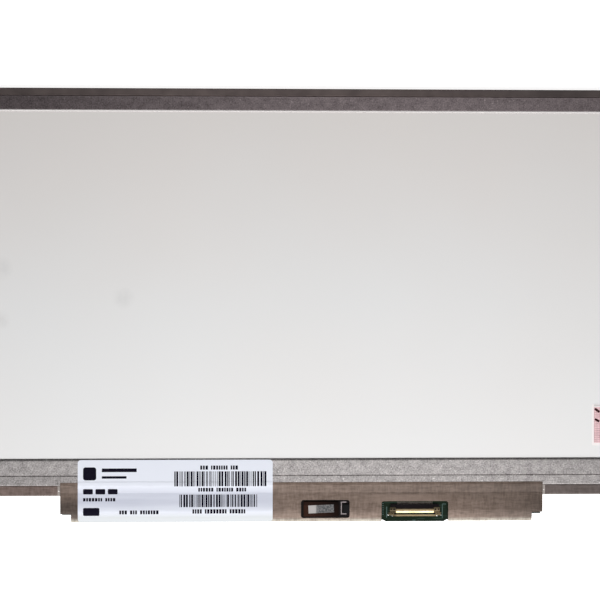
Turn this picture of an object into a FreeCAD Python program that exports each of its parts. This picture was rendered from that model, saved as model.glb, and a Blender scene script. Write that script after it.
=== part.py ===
import FreeCAD
import Part

import math
import os

# A slim 12.5 inch laptop display module, lying on its display with its back up.
# X runs along the long side, Y towards the upper edge and Z from the display to the back, in mm.
# The origin is at the middle of the outline, on the surface that the front rim lies on.

# Outline
MODULE_WIDTH = 290.0
MODULE_HEIGHT = 168.55
BOARD_REACH = 11.1
MOULD_CORNER = 1.5

# Thicknesses, from the display face to the back
RIM_RECESS = 0.10
FRONT_POLARISER = 0.18
FILTER_GLASS = 0.30
ARRAY_GLASS = 0.30
RIM_TAPE = 0.05
LEDGE = 0.30
UPPER_DIFFUSER = 0.10
UPPER_PRISM = 0.13
LOWER_PRISM = 0.13
LOWER_DIFFUSER = 0.10
LIGHT_GUIDE = 0.55
REFLECTOR = 0.19
CARRIER_SHEET = 0.25
FRAME_SHEET = 0.30

# Other thicknesses
REAR_POLARISER = 0.16
EDGE_TAPE = 0.06
FLEX = 0.12
DRIVER_FILM = 0.05
BOARD = 0.80
COVER_FILM = 0.10
LABEL = 0.08
CODE_LABEL = 0.05
STICKER = 0.06

# Clearances
GLASS_CLEARANCE = 0.20
SHEET_CLEARANCE = 0.20
SKIRT_CLEARANCE = 0.10
TAPE_CLEARANCE = 0.05
LIP_CLEARANCE = 0.02
CARRIER_CLEARANCE = 0.20
POLARISER_CLEARANCE = 0.30
COVER_CLEARANCE = 0.02
CONNECTOR_CLEARANCE = 0.05

# Mould frame: lips beside the back frame, walls, ledge and front rim
LIP_STEP = 0.48
SIDE_LIP = 2.0
UPPER_LIP = 3.3
LOWER_LIP = 4.25
SIDE_WALL = 1.4
UPPER_WALL = 0.5
SIDE_LEDGE = 2.3
UPPER_LEDGE = 1.0
LOWER_LEDGE = 2.9
SIDE_RIM = 2.8
UPPER_RIM = 3.1
LOWER_RIM = 1.2
RIM_CHAMFER = 0.2

# Back frame: bands round the window, rolled inner lip and skirt
SIDE_BAND = 4.5
UPPER_BAND = 6.45
LOWER_BAND = 6.8
WINDOW_CORNER = 2.0
FRAME_CORNER = 1.5
LIP_BEND = 1.60
SKIRT_BEND = 0.40

# Lamp carrier: flush flange, tongue under the back frame and wall behind the lamps
SEAM = 0.4
FLANGE = 3.8
TONGUE_LAP = 4.6
CARRIER_WALL = 1.36
CARRIER_BEND = 0.30

# Optical sheets
SHEET_TAB = 0.5
SHEET_TAB_LENGTH = 6.0
SHEET_TAB_SPACING = 90.0
SHEET_SETBACK = 0.6

# Glass and polarisers
BOND_SHELF = 5.0
POLARISER_SIDE_INSET = 2.8
POLARISER_UPPER_INSET = 1.2
POLARISER_LOWER_INSET = 0.6
RIM_TAPE_INSET = 0.2

# Lamps and their flex
LAMP_COUNT = 36
LAMP_LENGTH = 3.0
LAMP_DEPTH = 0.55
LAMP_HEIGHT = 0.60
LAMP_POCKET = 0.20
LAMP_RIM = 0.08
LAMP_GAP = 0.08
LAMP_END_MARGIN = 5.0
FLEX_END_MARGIN = 3.0
FLEX_RISE = 0.90
TAIL_GAP = 8.5
TAIL_WIDTH = 10.0
TAIL_LAP = 2.2
TAIL_CLEARANCE = 0.10

# Circuit board
BOARD_GAP = 0.5
BOARD_WIDTH = 198.8
BOARD_TAB = 0.7
BOARD_TAB_WIDTH = 26.4
BOARD_TAB_CHAMFER = 1.1
BOARD_NOTCH_WIDTH = 4.2
BOARD_NOTCH_DEPTH = 2.5

# Driver films and chips
FILM_COUNT = 3
FILM_SPACING = 70.0
FILM_WIDTH = 30.0
FILM_CORNER = 0.8
GLASS_LAP = 1.8
BOARD_LAP = 2.1
FILM_NOTCH_MARGIN = 1.0
FILM_NOTCH_RISE = 0.15
DRIVER_CHIP_LENGTH = 16.0
DRIVER_CHIP_WIDTH = 1.0
DRIVER_CHIP_HEIGHT = 0.30
DRIVER_CHIP_OFFSET = 0.45

# Cover film over the board
COVER_WIDTH = 200.2
COVER_LAP = 1.2
COVER_RAMP = 3.1
COVER_HEIGHT = 1.20
COVER_BEND_RUN = 4.2
COVER_OVERHANG = 0.55
COVER_NOTCH_WIDTH = 4.4
COVER_LEFT_NOTCH = 3.4
COVER_RIGHT_NOTCH = 3.75
WINDOW_RADIUS = 1.0
CHIP_WINDOW_X = 9.5
CHIP_WINDOW_WIDTH = 20.2
CHIP_WINDOW_DEPTH = 7.5
CHIP_WINDOW_EDGE = 1.45
SOCKET_WINDOW_WIDTH = 27.8
SOCKET_WINDOW_DEPTH = 8.35

# Chips on the board
TIMING_CHIP_X = 7.8
TIMING_CHIP_LENGTH = 14.6
TIMING_CHIP_WIDTH = 6.2
TIMING_CHIP_HEIGHT = 0.80
CHIP_CHAMFER = 0.12
CODE_LABEL_LENGTH = 10.6
CODE_LABEL_WIDTH = 3.3
CODE_LABEL_TURN = 2.5
DIODE_X = 19.1
DIODE_LENGTH = 4.5
DIODE_WIDTH = 3.8
DIODE_HEIGHT = 0.85
LAMP_DRIVER_GAP = 5.0
LAMP_DRIVER_SIDE = 4.0
LAMP_DRIVER_HEIGHT = 0.80
INDUCTOR_GAP = 7.2
INDUCTOR_DIAMETER = 5.0
INDUCTOR_FLANGE = 0.25
INDUCTOR_CORE_DIAMETER = 3.6
INDUCTOR_HEIGHT = 1.0
CAPACITOR_COUNT = 6
CAPACITOR_COVER_GAP = 12.1
CAPACITOR_SPACING = 4.5
CAPACITOR_LENGTH = 1.6
CAPACITOR_WIDTH = 0.8
CAPACITOR_HEIGHT = 0.80
CAPACITOR_END = 0.35
CAPACITOR_WAIST = 0.04

# Signal socket on the board
SOCKET_X = 46.8
WAYS = 30
PITCH = 0.5
CONTACT_WIDTH = 0.22
CONTACT_SHEET = 0.10
CONTACT_MARGIN = 0.45
CONTACT_FOOT = 0.8
CONTACT_TIP = 0.20
CONTACT_LEG_GAP = 0.15
SOCKET_HEIGHT = 1.12
SOCKET_MOUTH = 2.15
SOCKET_REAR_DEPTH = 1.9
TONGUE_DEPTH = 1.4
TONGUE_RISE = 0.32
TONGUE_SHEET = 0.28
SHELL_SHEET = 0.12
SHELL_STEP = 0.20
SHELL_EAR = 2.3
SHELL_EAR_DEPTH = 3.45
SHELL_ROOF_DEPTH = 1.6
SHELL_ROOF_SETBACK = 1.5
SHELL_BROW_DEPTH = 0.85
SHELL_BROW_DROP = 0.15
SHELL_LIP_DEPTH = 0.7
SHELL_LIP_RISE = 0.08
SHELL_LIP_END = 1.3
SHELL_CHEEK = 1.5
SHELL_THROAT = 1.0
SHELL_FRONT_SETBACK = 0.4
EAR_HOLE_RADIUS = 0.35
EAR_HOLE_SPACING = 1.2
EAR_HOLE_SETBACK = 2.9
SOLDER_FOOT = 0.5
SOLDER_FOOT_DEPTH = 1.2
END_BLOCK_INSET = 0.2
END_BLOCK_SETBACK = 0.75

# Label across the lower band and cover, and the small sticker on the reflector
LABEL_X = -52.6
LABEL_WIDTH = 80.5
LABEL_SETBACK = 0.4
LABEL_DROP = 0.1
LABEL_CORNER = 1.3
LABEL_RISE_RUN = 0.6
STICKER_RIGHT_INSET = 1.5
STICKER_WIDTH = 15.3
STICKER_HEIGHT = 16.1
STICKER_ABOVE_RAIL = 6.2
STICKER_CORNER = 0.4

# Tapes on the mould frame's lips
UPPER_TAPE_END = 0.5
UPPER_TAPE_SKIRT = 1.8
UPPER_TAPE_BEND = 0.40
LOWER_TAPE_END = 0.5
LOWER_TAPE_GAP = 1.1

TINY = 1e-6

# Levels from the front, worked out from the stack
POLARISER_Z = RIM_RECESS
FILTER_Z = POLARISER_Z + FRONT_POLARISER
ARRAY_Z = FILTER_Z + FILTER_GLASS
RIM_TAPE_Z = ARRAY_Z + ARRAY_GLASS
LEDGE_Z = RIM_TAPE_Z + RIM_TAPE
UPPER_DIFFUSER_Z = LEDGE_Z + LEDGE
UPPER_PRISM_Z = UPPER_DIFFUSER_Z + UPPER_DIFFUSER
LOWER_PRISM_Z = UPPER_PRISM_Z + UPPER_PRISM
LOWER_DIFFUSER_Z = LOWER_PRISM_Z + LOWER_PRISM
GUIDE_Z = LOWER_DIFFUSER_Z + LOWER_DIFFUSER
REFLECTOR_Z = GUIDE_Z + LIGHT_GUIDE
TONGUE_Z = REFLECTOR_Z + REFLECTOR
FRAME_Z = TONGUE_Z + CARRIER_SHEET
BACK_Z = FRAME_Z + FRAME_SHEET
LIP_Z = FRAME_Z - LIP_STEP
BOARD_Z = ARRAY_Z
BOARD_BACK = BOARD_Z + BOARD

# Places along Y, worked out from the outline
TOP_Y = (MODULE_HEIGHT + BOARD_REACH) / 2
LOWER_Y = TOP_Y - MODULE_HEIGHT
BOTTOM_Y = LOWER_Y - BOARD_REACH
MOULD_TOP_Y = TOP_Y - EDGE_TAPE
FRAME_TOP_Y = TOP_Y - UPPER_LIP
WALL_TOP_Y = FRAME_TOP_Y - FRAME_SHEET - SKIRT_CLEARANCE
POCKET_TOP_Y = WALL_TOP_Y - UPPER_WALL
GLASS_POCKET_TOP_Y = TOP_Y - UPPER_RIM
GLASS_POCKET_LOW_Y = LOWER_Y + LOWER_RIM
CARRIER_Y = LOWER_Y + LOWER_LIP
POCKET_LOW_Y = CARRIER_Y - CARRIER_CLEARANCE
FRAME_LOW_Y = CARRIER_Y + FLANGE + SEAM
WINDOW_TOP_Y = FRAME_TOP_Y - UPPER_BAND
WINDOW_LOW_Y = FRAME_LOW_Y + LOWER_BAND
FLEX_Y = CARRIER_Y + CARRIER_SHEET
LAMP_Y = FLEX_Y + FLEX
GUIDE_LOW_Y = LAMP_Y + LAMP_DEPTH + LAMP_GAP
SHEET_LOW_Y = GUIDE_LOW_Y + SHEET_SETBACK
SHEET_TOP_Y = POCKET_TOP_Y - SHEET_CLEARANCE
GLASS_TOP_Y = GLASS_POCKET_TOP_Y - GLASS_CLEARANCE
ARRAY_LOW_Y = GLASS_POCKET_LOW_Y + GLASS_CLEARANCE
FILTER_LOW_Y = ARRAY_LOW_Y + BOND_SHELF
OPENING_TOP_Y = POCKET_TOP_Y - UPPER_LEDGE
OPENING_LOW_Y = POCKET_LOW_Y + LOWER_LEDGE
BOARD_TOP_Y = LOWER_Y - BOARD_GAP
BOARD_LOW_Y = BOTTOM_Y + BOARD_TAB
COVER_TOP_Y = CARRIER_Y + COVER_LAP
COVER_LOW_Y = BOARD_LOW_Y - COVER_OVERHANG
COVER_BEND_Y = BOARD_LOW_Y + COVER_BEND_RUN
LABEL_TOP_Y = WINDOW_LOW_Y - LABEL_SETBACK
LABEL_LOW_Y = COVER_LOW_Y - LABEL_DROP

# Half widths along X
HALF_WIDTH = MODULE_WIDTH / 2
FRAME_X = HALF_WIDTH - SIDE_LIP
WALL_X = FRAME_X - FRAME_SHEET - SKIRT_CLEARANCE
POCKET_X = WALL_X - SIDE_WALL
SHEET_X = POCKET_X - SHEET_CLEARANCE
OPENING_X = POCKET_X - SIDE_LEDGE
GLASS_POCKET_X = HALF_WIDTH - SIDE_RIM
GLASS_X = GLASS_POCKET_X - GLASS_CLEARANCE
WINDOW_X = FRAME_X - SIDE_BAND

# Back frame's lip, rolled down until its lower edge just clears the reflector
LIP_TURN = math.acos(1 - (CARRIER_SHEET - LIP_CLEARANCE) / (LIP_BEND - FRAME_SHEET))
LIP_RUN = LIP_BEND * math.sin(LIP_TURN)

# Cover film's level part and the arc that brings it down to the board's lower edge
COVER_Z = BOARD_BACK + COVER_HEIGHT
COVER_DROP = COVER_HEIGHT - COVER_CLEARANCE
COVER_BEND = (COVER_BEND_RUN ** 2 + COVER_DROP ** 2) / (2 * COVER_DROP)


# Parts in a row on the board, from the cover's left end: capacitors, coil, lamp tail and lamp driver
CAPACITOR_X = CAPACITOR_COVER_GAP - COVER_WIDTH / 2
CAPACITOR_ROW = CAPACITOR_SPACING * (CAPACITOR_COUNT - 1) + CAPACITOR_LENGTH / 2
INDUCTOR_X = CAPACITOR_X + CAPACITOR_ROW + INDUCTOR_GAP + INDUCTOR_DIAMETER / 2
TAIL_X = INDUCTOR_X + INDUCTOR_DIAMETER / 2 + TAIL_GAP + TAIL_WIDTH / 2
LAMP_DRIVER_X = TAIL_X + TAIL_WIDTH / 2 + LAMP_DRIVER_GAP + LAMP_DRIVER_SIDE / 2


def both(half):
    """Low and high ends of a span centred on zero."""
    return (-half, half)


def about(centre, size):
    """Low and high ends of a span of the given size about a centre."""
    return (centre - size / 2, centre + size / 2)


def block(xs, ys, zs):
    """Box over the low and high ends given for each axis."""
    corner = FreeCAD.Vector(xs[0], ys[0], zs[0])
    return Part.makeBox(xs[1] - xs[0], ys[1] - ys[0], zs[1] - zs[0], corner)


def round_block(xs, ys, zs, radius):
    """Box whose four upright edges are rounded."""
    solid = block(xs, ys, zs)
    upright = [edge for edge in solid.Edges if edge.BoundBox.ZLength > TINY]
    return solid.makeFillet(radius, upright)


def offset_path(path, distance):
    """Points a constant distance to the right of a path, with mitred corners."""
    normals = []
    for start, end in zip(path, path[1:]):
        length = math.hypot(end[0] - start[0], end[1] - start[1])
        normals.append(((end[1] - start[1]) / length, -(end[0] - start[0]) / length))
    before = normals[:1] + normals
    after = normals + normals[-1:]
    moved = []
    for point, first, second in zip(path, before, after):
        reach = distance / (1 + first[0] * second[0] + first[1] * second[1])
        moved.append((point[0] + reach * (first[0] + second[0]), point[1] + reach * (first[1] + second[1])))
    return moved


def folded(path, thickness):
    """Closed section of a sheet folded along a path, as a list of corners."""
    return path + offset_path(path, thickness)[::-1]


def along_x(section, xs):
    """Solid of constant section along X, from (y, z) corners."""
    corners = [FreeCAD.Vector(xs[0], y, z) for y, z in section]
    face = Part.Face(Part.makePolygon(corners + corners[:1]))
    return face.extrude(FreeCAD.Vector(xs[1] - xs[0], 0, 0))


def along_y(section, ys):
    """Solid of constant section along Y, from (x, z) corners."""
    corners = [FreeCAD.Vector(x, ys[0], z) for x, z in section]
    face = Part.Face(Part.makePolygon(corners + corners[:1]))
    return face.extrude(FreeCAD.Vector(0, ys[1] - ys[0], 0))


def along_z(outline, zs):
    """Solid of constant section along Z, from (x, y) corners."""
    corners = [FreeCAD.Vector(x, y, zs[0]) for x, y in outline]
    face = Part.Face(Part.makePolygon(corners + corners[:1]))
    return face.extrude(FreeCAD.Vector(0, 0, zs[1] - zs[0]))


def lines(points):
    """Straight edges from point to point."""
    return [Part.makeLine(start, end) for start, end in zip(points, points[1:])]


def bent_film(path, thickness, bend_radius, bend_angle, xs):
    """Film along X: straight runs through (y, z) points, then an arc that turns down.

    The path follows the film's lower face towards -Y, and its last run is level.
    """
    bend_y, bend_z = path[-1]

    def on_arc(radius, angle):
        height = bend_z - bend_radius + radius * math.cos(angle)
        return FreeCAD.Vector(xs[0], bend_y - radius * math.sin(angle), height)

    def arc(radius, start, end):
        middle = on_arc(radius, (start + end) / 2)
        return Part.Arc(on_arc(radius, start), middle, on_arc(radius, end)).toShape()

    outer = bend_radius + thickness
    lower = [FreeCAD.Vector(xs[0], y, z) for y, z in path]
    upper = [FreeCAD.Vector(xs[0], y, z) for y, z in offset_path(path, thickness)]
    edges = lines(lower)
    edges.append(arc(bend_radius, 0, bend_angle))
    edges.append(Part.makeLine(on_arc(bend_radius, bend_angle), on_arc(outer, bend_angle)))
    edges.append(arc(outer, bend_angle, 0))
    edges += lines(upper[::-1] + lower[:1])
    face = Part.Face(Part.Wire(edges))
    return face.extrude(FreeCAD.Vector(xs[1] - xs[0], 0, 0))


def edges_along_x(solid, y, z):
    """Straight edges of a solid that run along X at the given place."""
    found = []
    for edge in solid.Edges:
        box = edge.BoundBox
        at_y = abs(box.YMin - y) < TINY and box.YLength < TINY
        at_z = abs(box.ZMin - z) < TINY and box.ZLength < TINY
        if at_y and at_z:
            found.append(edge)
    return found


def round_path(half_x, low_y, high_y, z, radius):
    """Closed path round a rectangle with rounded corners, from the middle of its low side."""
    inner_x = half_x - radius
    near = radius * (1 - math.cos(math.pi / 4))
    corners = [
        ((inner_x, low_y), (half_x - near, low_y + near), (half_x, low_y + radius)),
        ((half_x, high_y - radius), (half_x - near, high_y - near), (inner_x, high_y)),
        ((-inner_x, high_y), (near - half_x, high_y - near), (-half_x, high_y - radius)),
        ((-half_x, low_y + radius), (near - half_x, low_y + near), (-inner_x, low_y)),
    ]
    start = FreeCAD.Vector(0, low_y, z)
    here = start
    edges = []
    for corner in corners:
        begin, middle, end = [FreeCAD.Vector(x, y, z) for x, y in corner]
        edges += lines([here, begin])
        edges.append(Part.Arc(begin, middle, end).toShape())
        here = end
    return Part.Wire(edges + lines([here, start]))


def rolled_section(y, z, bend, turn, thickness):
    """Section of a sheet's edge that is rolled down towards +Y, from where its bend starts."""

    def on_roll(radius, angle):
        return FreeCAD.Vector(0, y + radius * math.sin(angle), z - bend + radius * math.cos(angle))

    def arc(radius, start, end):
        middle = on_roll(radius, (start + end) / 2)
        return Part.Arc(on_roll(radius, start), middle, on_roll(radius, end)).toShape()

    inner = bend - thickness
    tip = Part.makeLine(on_roll(bend, turn), on_roll(inner, turn))
    root = Part.makeLine(on_roll(inner, 0), on_roll(bend, 0))
    return Part.Wire([arc(bend, 0, turn), tip, arc(inner, turn, 0), root])


def rounded_tray(half_x, low_y, high_y, zs, corner):
    """Box that is open-ended at its low side, with its two upper corners rounded."""
    solid = block(both(half_x), (low_y, high_y), zs)
    upright = [edge for edge in solid.Edges if edge.BoundBox.ZLength > TINY]
    corners = [edge for edge in upright if edge.BoundBox.YMin > low_y + TINY]
    return solid.makeFillet(corner, corners)


def tab_places():
    """Middles along Y of the sheets' locating tabs."""
    middle = (SHEET_TOP_Y + SHEET_LOW_Y) / 2
    return [middle - SHEET_TAB_SPACING / 2, middle + SHEET_TAB_SPACING / 2]


def optical_sheet(z, thickness, low_y):
    """Sheet of the backlight, with locating tabs on its two sides."""
    zs = (z, z + thickness)
    sheet = block(both(SHEET_X), (low_y, SHEET_TOP_Y), zs)
    tabs = [block(both(SHEET_X + SHEET_TAB), about(y, SHEET_TAB_LENGTH), zs) for y in tab_places()]
    return sheet.multiFuse(tabs).removeSplitter()


def film_places():
    """Middles along X of the driver films."""
    return [FILM_SPACING * (index - (FILM_COUNT - 1) / 2) for index in range(FILM_COUNT)]


def make_mould_frame():
    """Moulded frame: front rim round the glass, ledge, walls round the sheets, and lips for the tapes."""
    base = round_block(both(HALF_WIDTH), (LOWER_Y, MOULD_TOP_Y), (0, LIP_Z), MOULD_CORNER)
    rim_edges = [edge for edge in base.Edges if edge.BoundBox.ZMax < TINY]
    base = base.makeChamfer(RIM_CHAMFER, rim_edges)
    round_y = MOULD_TOP_Y - UPPER_TAPE_BEND
    round_z = LIP_Z - UPPER_TAPE_BEND
    axis = FreeCAD.Vector(-HALF_WIDTH, round_y, round_z)
    edge_round = Part.makeCylinder(UPPER_TAPE_BEND, MODULE_WIDTH, axis, FreeCAD.Vector(1, 0, 0))
    base = base.cut(block(both(HALF_WIDTH), (round_y, MOULD_TOP_Y), (round_z, LIP_Z)).cut(edge_round))
    wall_corner = FRAME_CORNER - FRAME_SHEET - SKIRT_CLEARANCE
    wall = round_block(both(WALL_X), (POCKET_LOW_Y, WALL_TOP_Y), (0, FRAME_Z), wall_corner)
    frame = base.fuse(wall)
    glass_pocket = block(both(GLASS_POCKET_X), (GLASS_POCKET_LOW_Y, GLASS_POCKET_TOP_Y), (0, LEDGE_Z))
    opening = block(both(OPENING_X), (OPENING_LOW_Y, OPENING_TOP_Y), (0, FRAME_Z))
    sheet_zs = (UPPER_DIFFUSER_Z, FRAME_Z)
    cuts = [glass_pocket, opening, block(both(POCKET_X), (POCKET_LOW_Y, POCKET_TOP_Y), sheet_zs)]
    for y in tab_places():
        ys = about(y, SHEET_TAB_LENGTH + 2 * SHEET_CLEARANCE)
        cuts.append(block(both(POCKET_X + SHEET_TAB), ys, sheet_zs))
    rim_ys = (LOWER_Y, GLASS_POCKET_LOW_Y)
    notch_top = ARRAY_Z + FILM_NOTCH_RISE
    for x in film_places():
        cuts.append(block(about(x, FILM_WIDTH + 2 * FILM_NOTCH_MARGIN), rim_ys, (0, notch_top)))
    tail_zs = (BOARD_BACK - TAIL_CLEARANCE, BOARD_BACK + FLEX + TAIL_CLEARANCE)
    tail_xs = about(TAIL_X, TAIL_WIDTH + 2 * TAIL_CLEARANCE)
    cuts.append(block(tail_xs, (LOWER_Y, POCKET_LOW_Y), tail_zs))
    return frame.cut(Part.makeCompound(cuts)).removeSplitter()


def make_back_frame():
    """Pressed tray: bands round a window whose edge is rolled down, and a skirt on three sides."""
    skirt_z = LIP_Z + EDGE_TAPE + TAPE_CLEARANCE
    tray = rounded_tray(FRAME_X, FRAME_LOW_Y, FRAME_TOP_Y, (skirt_z, BACK_Z), FRAME_CORNER)
    shoulder = [
        edge
        for edge in tray.Edges
        if edge.BoundBox.ZMin > BACK_Z - TINY and edge.BoundBox.YMax > FRAME_LOW_Y + TINY
    ]
    tray = tray.makeFillet(SKIRT_BEND, shoulder)
    hollow_top = FRAME_TOP_Y - FRAME_SHEET
    hollow_corner = FRAME_CORNER - FRAME_SHEET
    hollow = rounded_tray(FRAME_X - FRAME_SHEET, FRAME_LOW_Y, hollow_top, (skirt_z, FRAME_Z), hollow_corner)
    tray = tray.cut(hollow)
    bend_x = WINDOW_X + LIP_RUN
    bend_ys = (WINDOW_LOW_Y - LIP_RUN, WINDOW_TOP_Y + LIP_RUN)
    bend_corner = WINDOW_CORNER + LIP_RUN
    window = round_block(both(bend_x), bend_ys, (FRAME_Z, BACK_Z), bend_corner)
    path = round_path(bend_x, bend_ys[0], bend_ys[1], BACK_Z, bend_corner)
    section = rolled_section(bend_ys[0], BACK_Z, LIP_BEND, LIP_TURN, FRAME_SHEET)
    lip = path.makePipeShell([section], True)
    return tray.cut(window).fuse(lip).removeSplitter()


def make_led_carrier():
    """Folded strip: tongue under the back frame, joggle to the flush flange, wall behind the lamps."""
    path = [
        (FRAME_LOW_Y + TONGUE_LAP, FRAME_Z),
        (FRAME_LOW_Y, FRAME_Z),
        (FRAME_LOW_Y - SEAM, BACK_Z),
        (CARRIER_Y, BACK_Z),
        (CARRIER_Y, BACK_Z - CARRIER_WALL),
    ]
    strip = along_x(folded(path, -CARRIER_SHEET), both(SHEET_X))
    inside = edges_along_x(strip, CARRIER_Y + CARRIER_SHEET, BACK_Z - CARRIER_SHEET)
    strip = strip.makeFillet(CARRIER_BEND - CARRIER_SHEET, inside)
    return strip.makeFillet(CARRIER_BEND, edges_along_x(strip, CARRIER_Y, BACK_Z))


def make_rim_tape():
    """Black tape ring that bonds the glass to the ledge."""
    zs = (RIM_TAPE_Z, LEDGE_Z)
    outer_ys = (POCKET_LOW_Y, GLASS_TOP_Y - RIM_TAPE_INSET)
    outer = block(both(GLASS_X - RIM_TAPE_INSET), outer_ys, zs)
    inner_ys = (OPENING_LOW_Y - RIM_TAPE_INSET, OPENING_TOP_Y + RIM_TAPE_INSET)
    return outer.cut(block(both(OPENING_X + RIM_TAPE_INSET), inner_ys, zs))


def make_glass_stack():
    """Two glasses and their polarisers, by node name."""
    front_ys = (FILTER_LOW_Y + POLARISER_LOWER_INSET, GLASS_TOP_Y - POLARISER_UPPER_INSET)
    rear_ys = (OPENING_LOW_Y + POLARISER_CLEARANCE, OPENING_TOP_Y - POLARISER_CLEARANCE)
    rear_xs = both(OPENING_X - POLARISER_CLEARANCE)
    array_zs = (ARRAY_Z, RIM_TAPE_Z)
    return {
        "front_polariser": block(both(GLASS_X - POLARISER_SIDE_INSET), front_ys, (POLARISER_Z, FILTER_Z)),
        "colour_filter_glass": block(both(GLASS_X), (FILTER_LOW_Y, GLASS_TOP_Y), (FILTER_Z, ARRAY_Z)),
        "array_glass": block(both(GLASS_X), (ARRAY_LOW_Y, GLASS_TOP_Y), array_zs),
        "rear_polariser": block(rear_xs, rear_ys, (RIM_TAPE_Z, RIM_TAPE_Z + REAR_POLARISER)),
    }


def make_optical_sheets():
    """Sheets of the backlight from the display towards the back, by node name."""
    return {
        "upper_diffuser": optical_sheet(UPPER_DIFFUSER_Z, UPPER_DIFFUSER, SHEET_LOW_Y),
        "upper_prism_sheet": optical_sheet(UPPER_PRISM_Z, UPPER_PRISM, SHEET_LOW_Y),
        "lower_prism_sheet": optical_sheet(LOWER_PRISM_Z, LOWER_PRISM, SHEET_LOW_Y),
        "lower_diffuser": optical_sheet(LOWER_DIFFUSER_Z, LOWER_DIFFUSER, SHEET_LOW_Y),
        "light_guide_plate": optical_sheet(GUIDE_Z, LIGHT_GUIDE, GUIDE_LOW_Y),
        "reflector_sheet": optical_sheet(REFLECTOR_Z, REFLECTOR, SHEET_LOW_Y),
    }


def make_led_flex():
    """Flexible strip behind the lamps, with a tail that runs out to the board's back."""
    flex_x = SHEET_X - FLEX_END_MARGIN
    strip = block(both(flex_x), (FLEX_Y, LAMP_Y), (BOARD_BACK, BOARD_BACK + FLEX_RISE + FLEX))
    path = [
        (FLEX_Y, BOARD_BACK + FLEX_RISE),
        (FLEX_Y, BOARD_BACK + FLEX),
        (BOARD_TOP_Y - TAIL_LAP, BOARD_BACK + FLEX),
    ]
    tail = along_x(folded(path, -FLEX), about(TAIL_X, TAIL_WIDTH))
    return strip.fuse(tail).removeSplitter()


def make_leds():
    """Row of side-firing lamps, each with a shallow light window towards the light guide."""
    middle_z = GUIDE_Z + LIGHT_GUIDE / 2
    row = 2 * (SHEET_X - LAMP_END_MARGIN) - LAMP_LENGTH
    face_y = LAMP_Y + LAMP_DEPTH
    lamps = []
    for index in range(LAMP_COUNT):
        x = row * (index / (LAMP_COUNT - 1) - 0.5)
        body = block(about(x, LAMP_LENGTH), (LAMP_Y, face_y), about(middle_z, LAMP_HEIGHT))
        pocket_xs = about(x, LAMP_LENGTH - 2 * LAMP_RIM)
        pocket_zs = about(middle_z, LAMP_HEIGHT - 2 * LAMP_RIM)
        lamps.append(body.cut(block(pocket_xs, (face_y - LAMP_POCKET, face_y), pocket_zs)))
    return Part.makeCompound(lamps)


def make_driver_film(x):
    """Film that joins the array glass to the board's front face."""
    ys = (BOARD_TOP_Y - BOARD_LAP, ARRAY_LOW_Y + GLASS_LAP)
    return round_block(about(x, FILM_WIDTH), ys, (ARRAY_Z - DRIVER_FILM, ARRAY_Z), FILM_CORNER)


def make_driver_chip(x):
    """Slim chip on a driver film's front face, over the frame's lower rim."""
    top_z = ARRAY_Z - DRIVER_FILM
    ys = about(LOWER_Y + DRIVER_CHIP_OFFSET, DRIVER_CHIP_WIDTH)
    return block(about(x, DRIVER_CHIP_LENGTH), ys, (top_z - DRIVER_CHIP_HEIGHT, top_z))


def make_circuit_board():
    """Board with stepped lower corners and a chamfered tab under the socket."""
    half = BOARD_WIDTH / 2
    step_x = half - BOARD_NOTCH_WIDTH
    step_y = BOARD_LOW_Y + BOARD_NOTCH_DEPTH
    tab_left, tab_right = about(SOCKET_X, BOARD_TAB_WIDTH)
    outline = [
        (-half, BOARD_TOP_Y),
        (-half, step_y),
        (-step_x, step_y),
        (-step_x, BOARD_LOW_Y),
        (tab_left, BOARD_LOW_Y),
        (tab_left + BOARD_TAB_CHAMFER, BOTTOM_Y),
        (tab_right - BOARD_TAB_CHAMFER, BOTTOM_Y),
        (tab_right, BOARD_LOW_Y),
        (step_x, BOARD_LOW_Y),
        (step_x, step_y),
        (half, step_y),
        (half, BOARD_TOP_Y),
    ]
    return along_z(outline, (BOARD_Z, BOARD_BACK))


def chip(centre_x, centre_y, length, width, height):
    """Moulded chip body on the board's back, with its top edges bevelled."""
    top_z = BOARD_BACK + height
    body = block(about(centre_x, length), about(centre_y, width), (BOARD_BACK, top_z))
    top_edges = [edge for edge in body.Edges if edge.BoundBox.ZMin > top_z - TINY]
    return body.makeChamfer(CHIP_CHAMFER, top_edges)


def make_power_inductor():
    """Drum coil: two flanges on a core."""
    radius = INDUCTOR_DIAMETER / 2
    centre_y = (BOARD_TOP_Y + COVER_BEND_Y) / 2
    top_flange = INDUCTOR_HEIGHT - INDUCTOR_FLANGE
    foot = FreeCAD.Vector(INDUCTOR_X, centre_y, BOARD_BACK)
    top = FreeCAD.Vector(INDUCTOR_X, centre_y, BOARD_BACK + top_flange)
    core = Part.makeCylinder(INDUCTOR_CORE_DIAMETER / 2, INDUCTOR_HEIGHT, foot)
    flanges = [Part.makeCylinder(radius, INDUCTOR_FLANGE, place) for place in (foot, top)]
    return core.multiFuse(flanges).removeSplitter()


def make_capacitors():
    """Row of chip capacitors, each with slightly proud metal ends."""
    centre_y = (BOARD_TOP_Y + COVER_BEND_Y) / 2
    zs = (BOARD_BACK, BOARD_BACK + CAPACITOR_HEIGHT)
    waist_zs = (BOARD_BACK + CAPACITOR_WAIST, BOARD_BACK + CAPACITOR_HEIGHT - CAPACITOR_WAIST)
    pieces = []
    for index in range(CAPACITOR_COUNT):
        x = CAPACITOR_X + CAPACITOR_SPACING * index
        low = x - CAPACITOR_LENGTH / 2
        high = x + CAPACITOR_LENGTH / 2
        ys = about(centre_y, CAPACITOR_WIDTH)
        waist_ys = about(centre_y, CAPACITOR_WIDTH - 2 * CAPACITOR_WAIST)
        ends = [block((low, low + CAPACITOR_END), ys, zs), block((high - CAPACITOR_END, high), ys, zs)]
        pieces.append(block((low, high), waist_ys, waist_zs).multiFuse(ends).removeSplitter())
    return Part.makeCompound(pieces)


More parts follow.
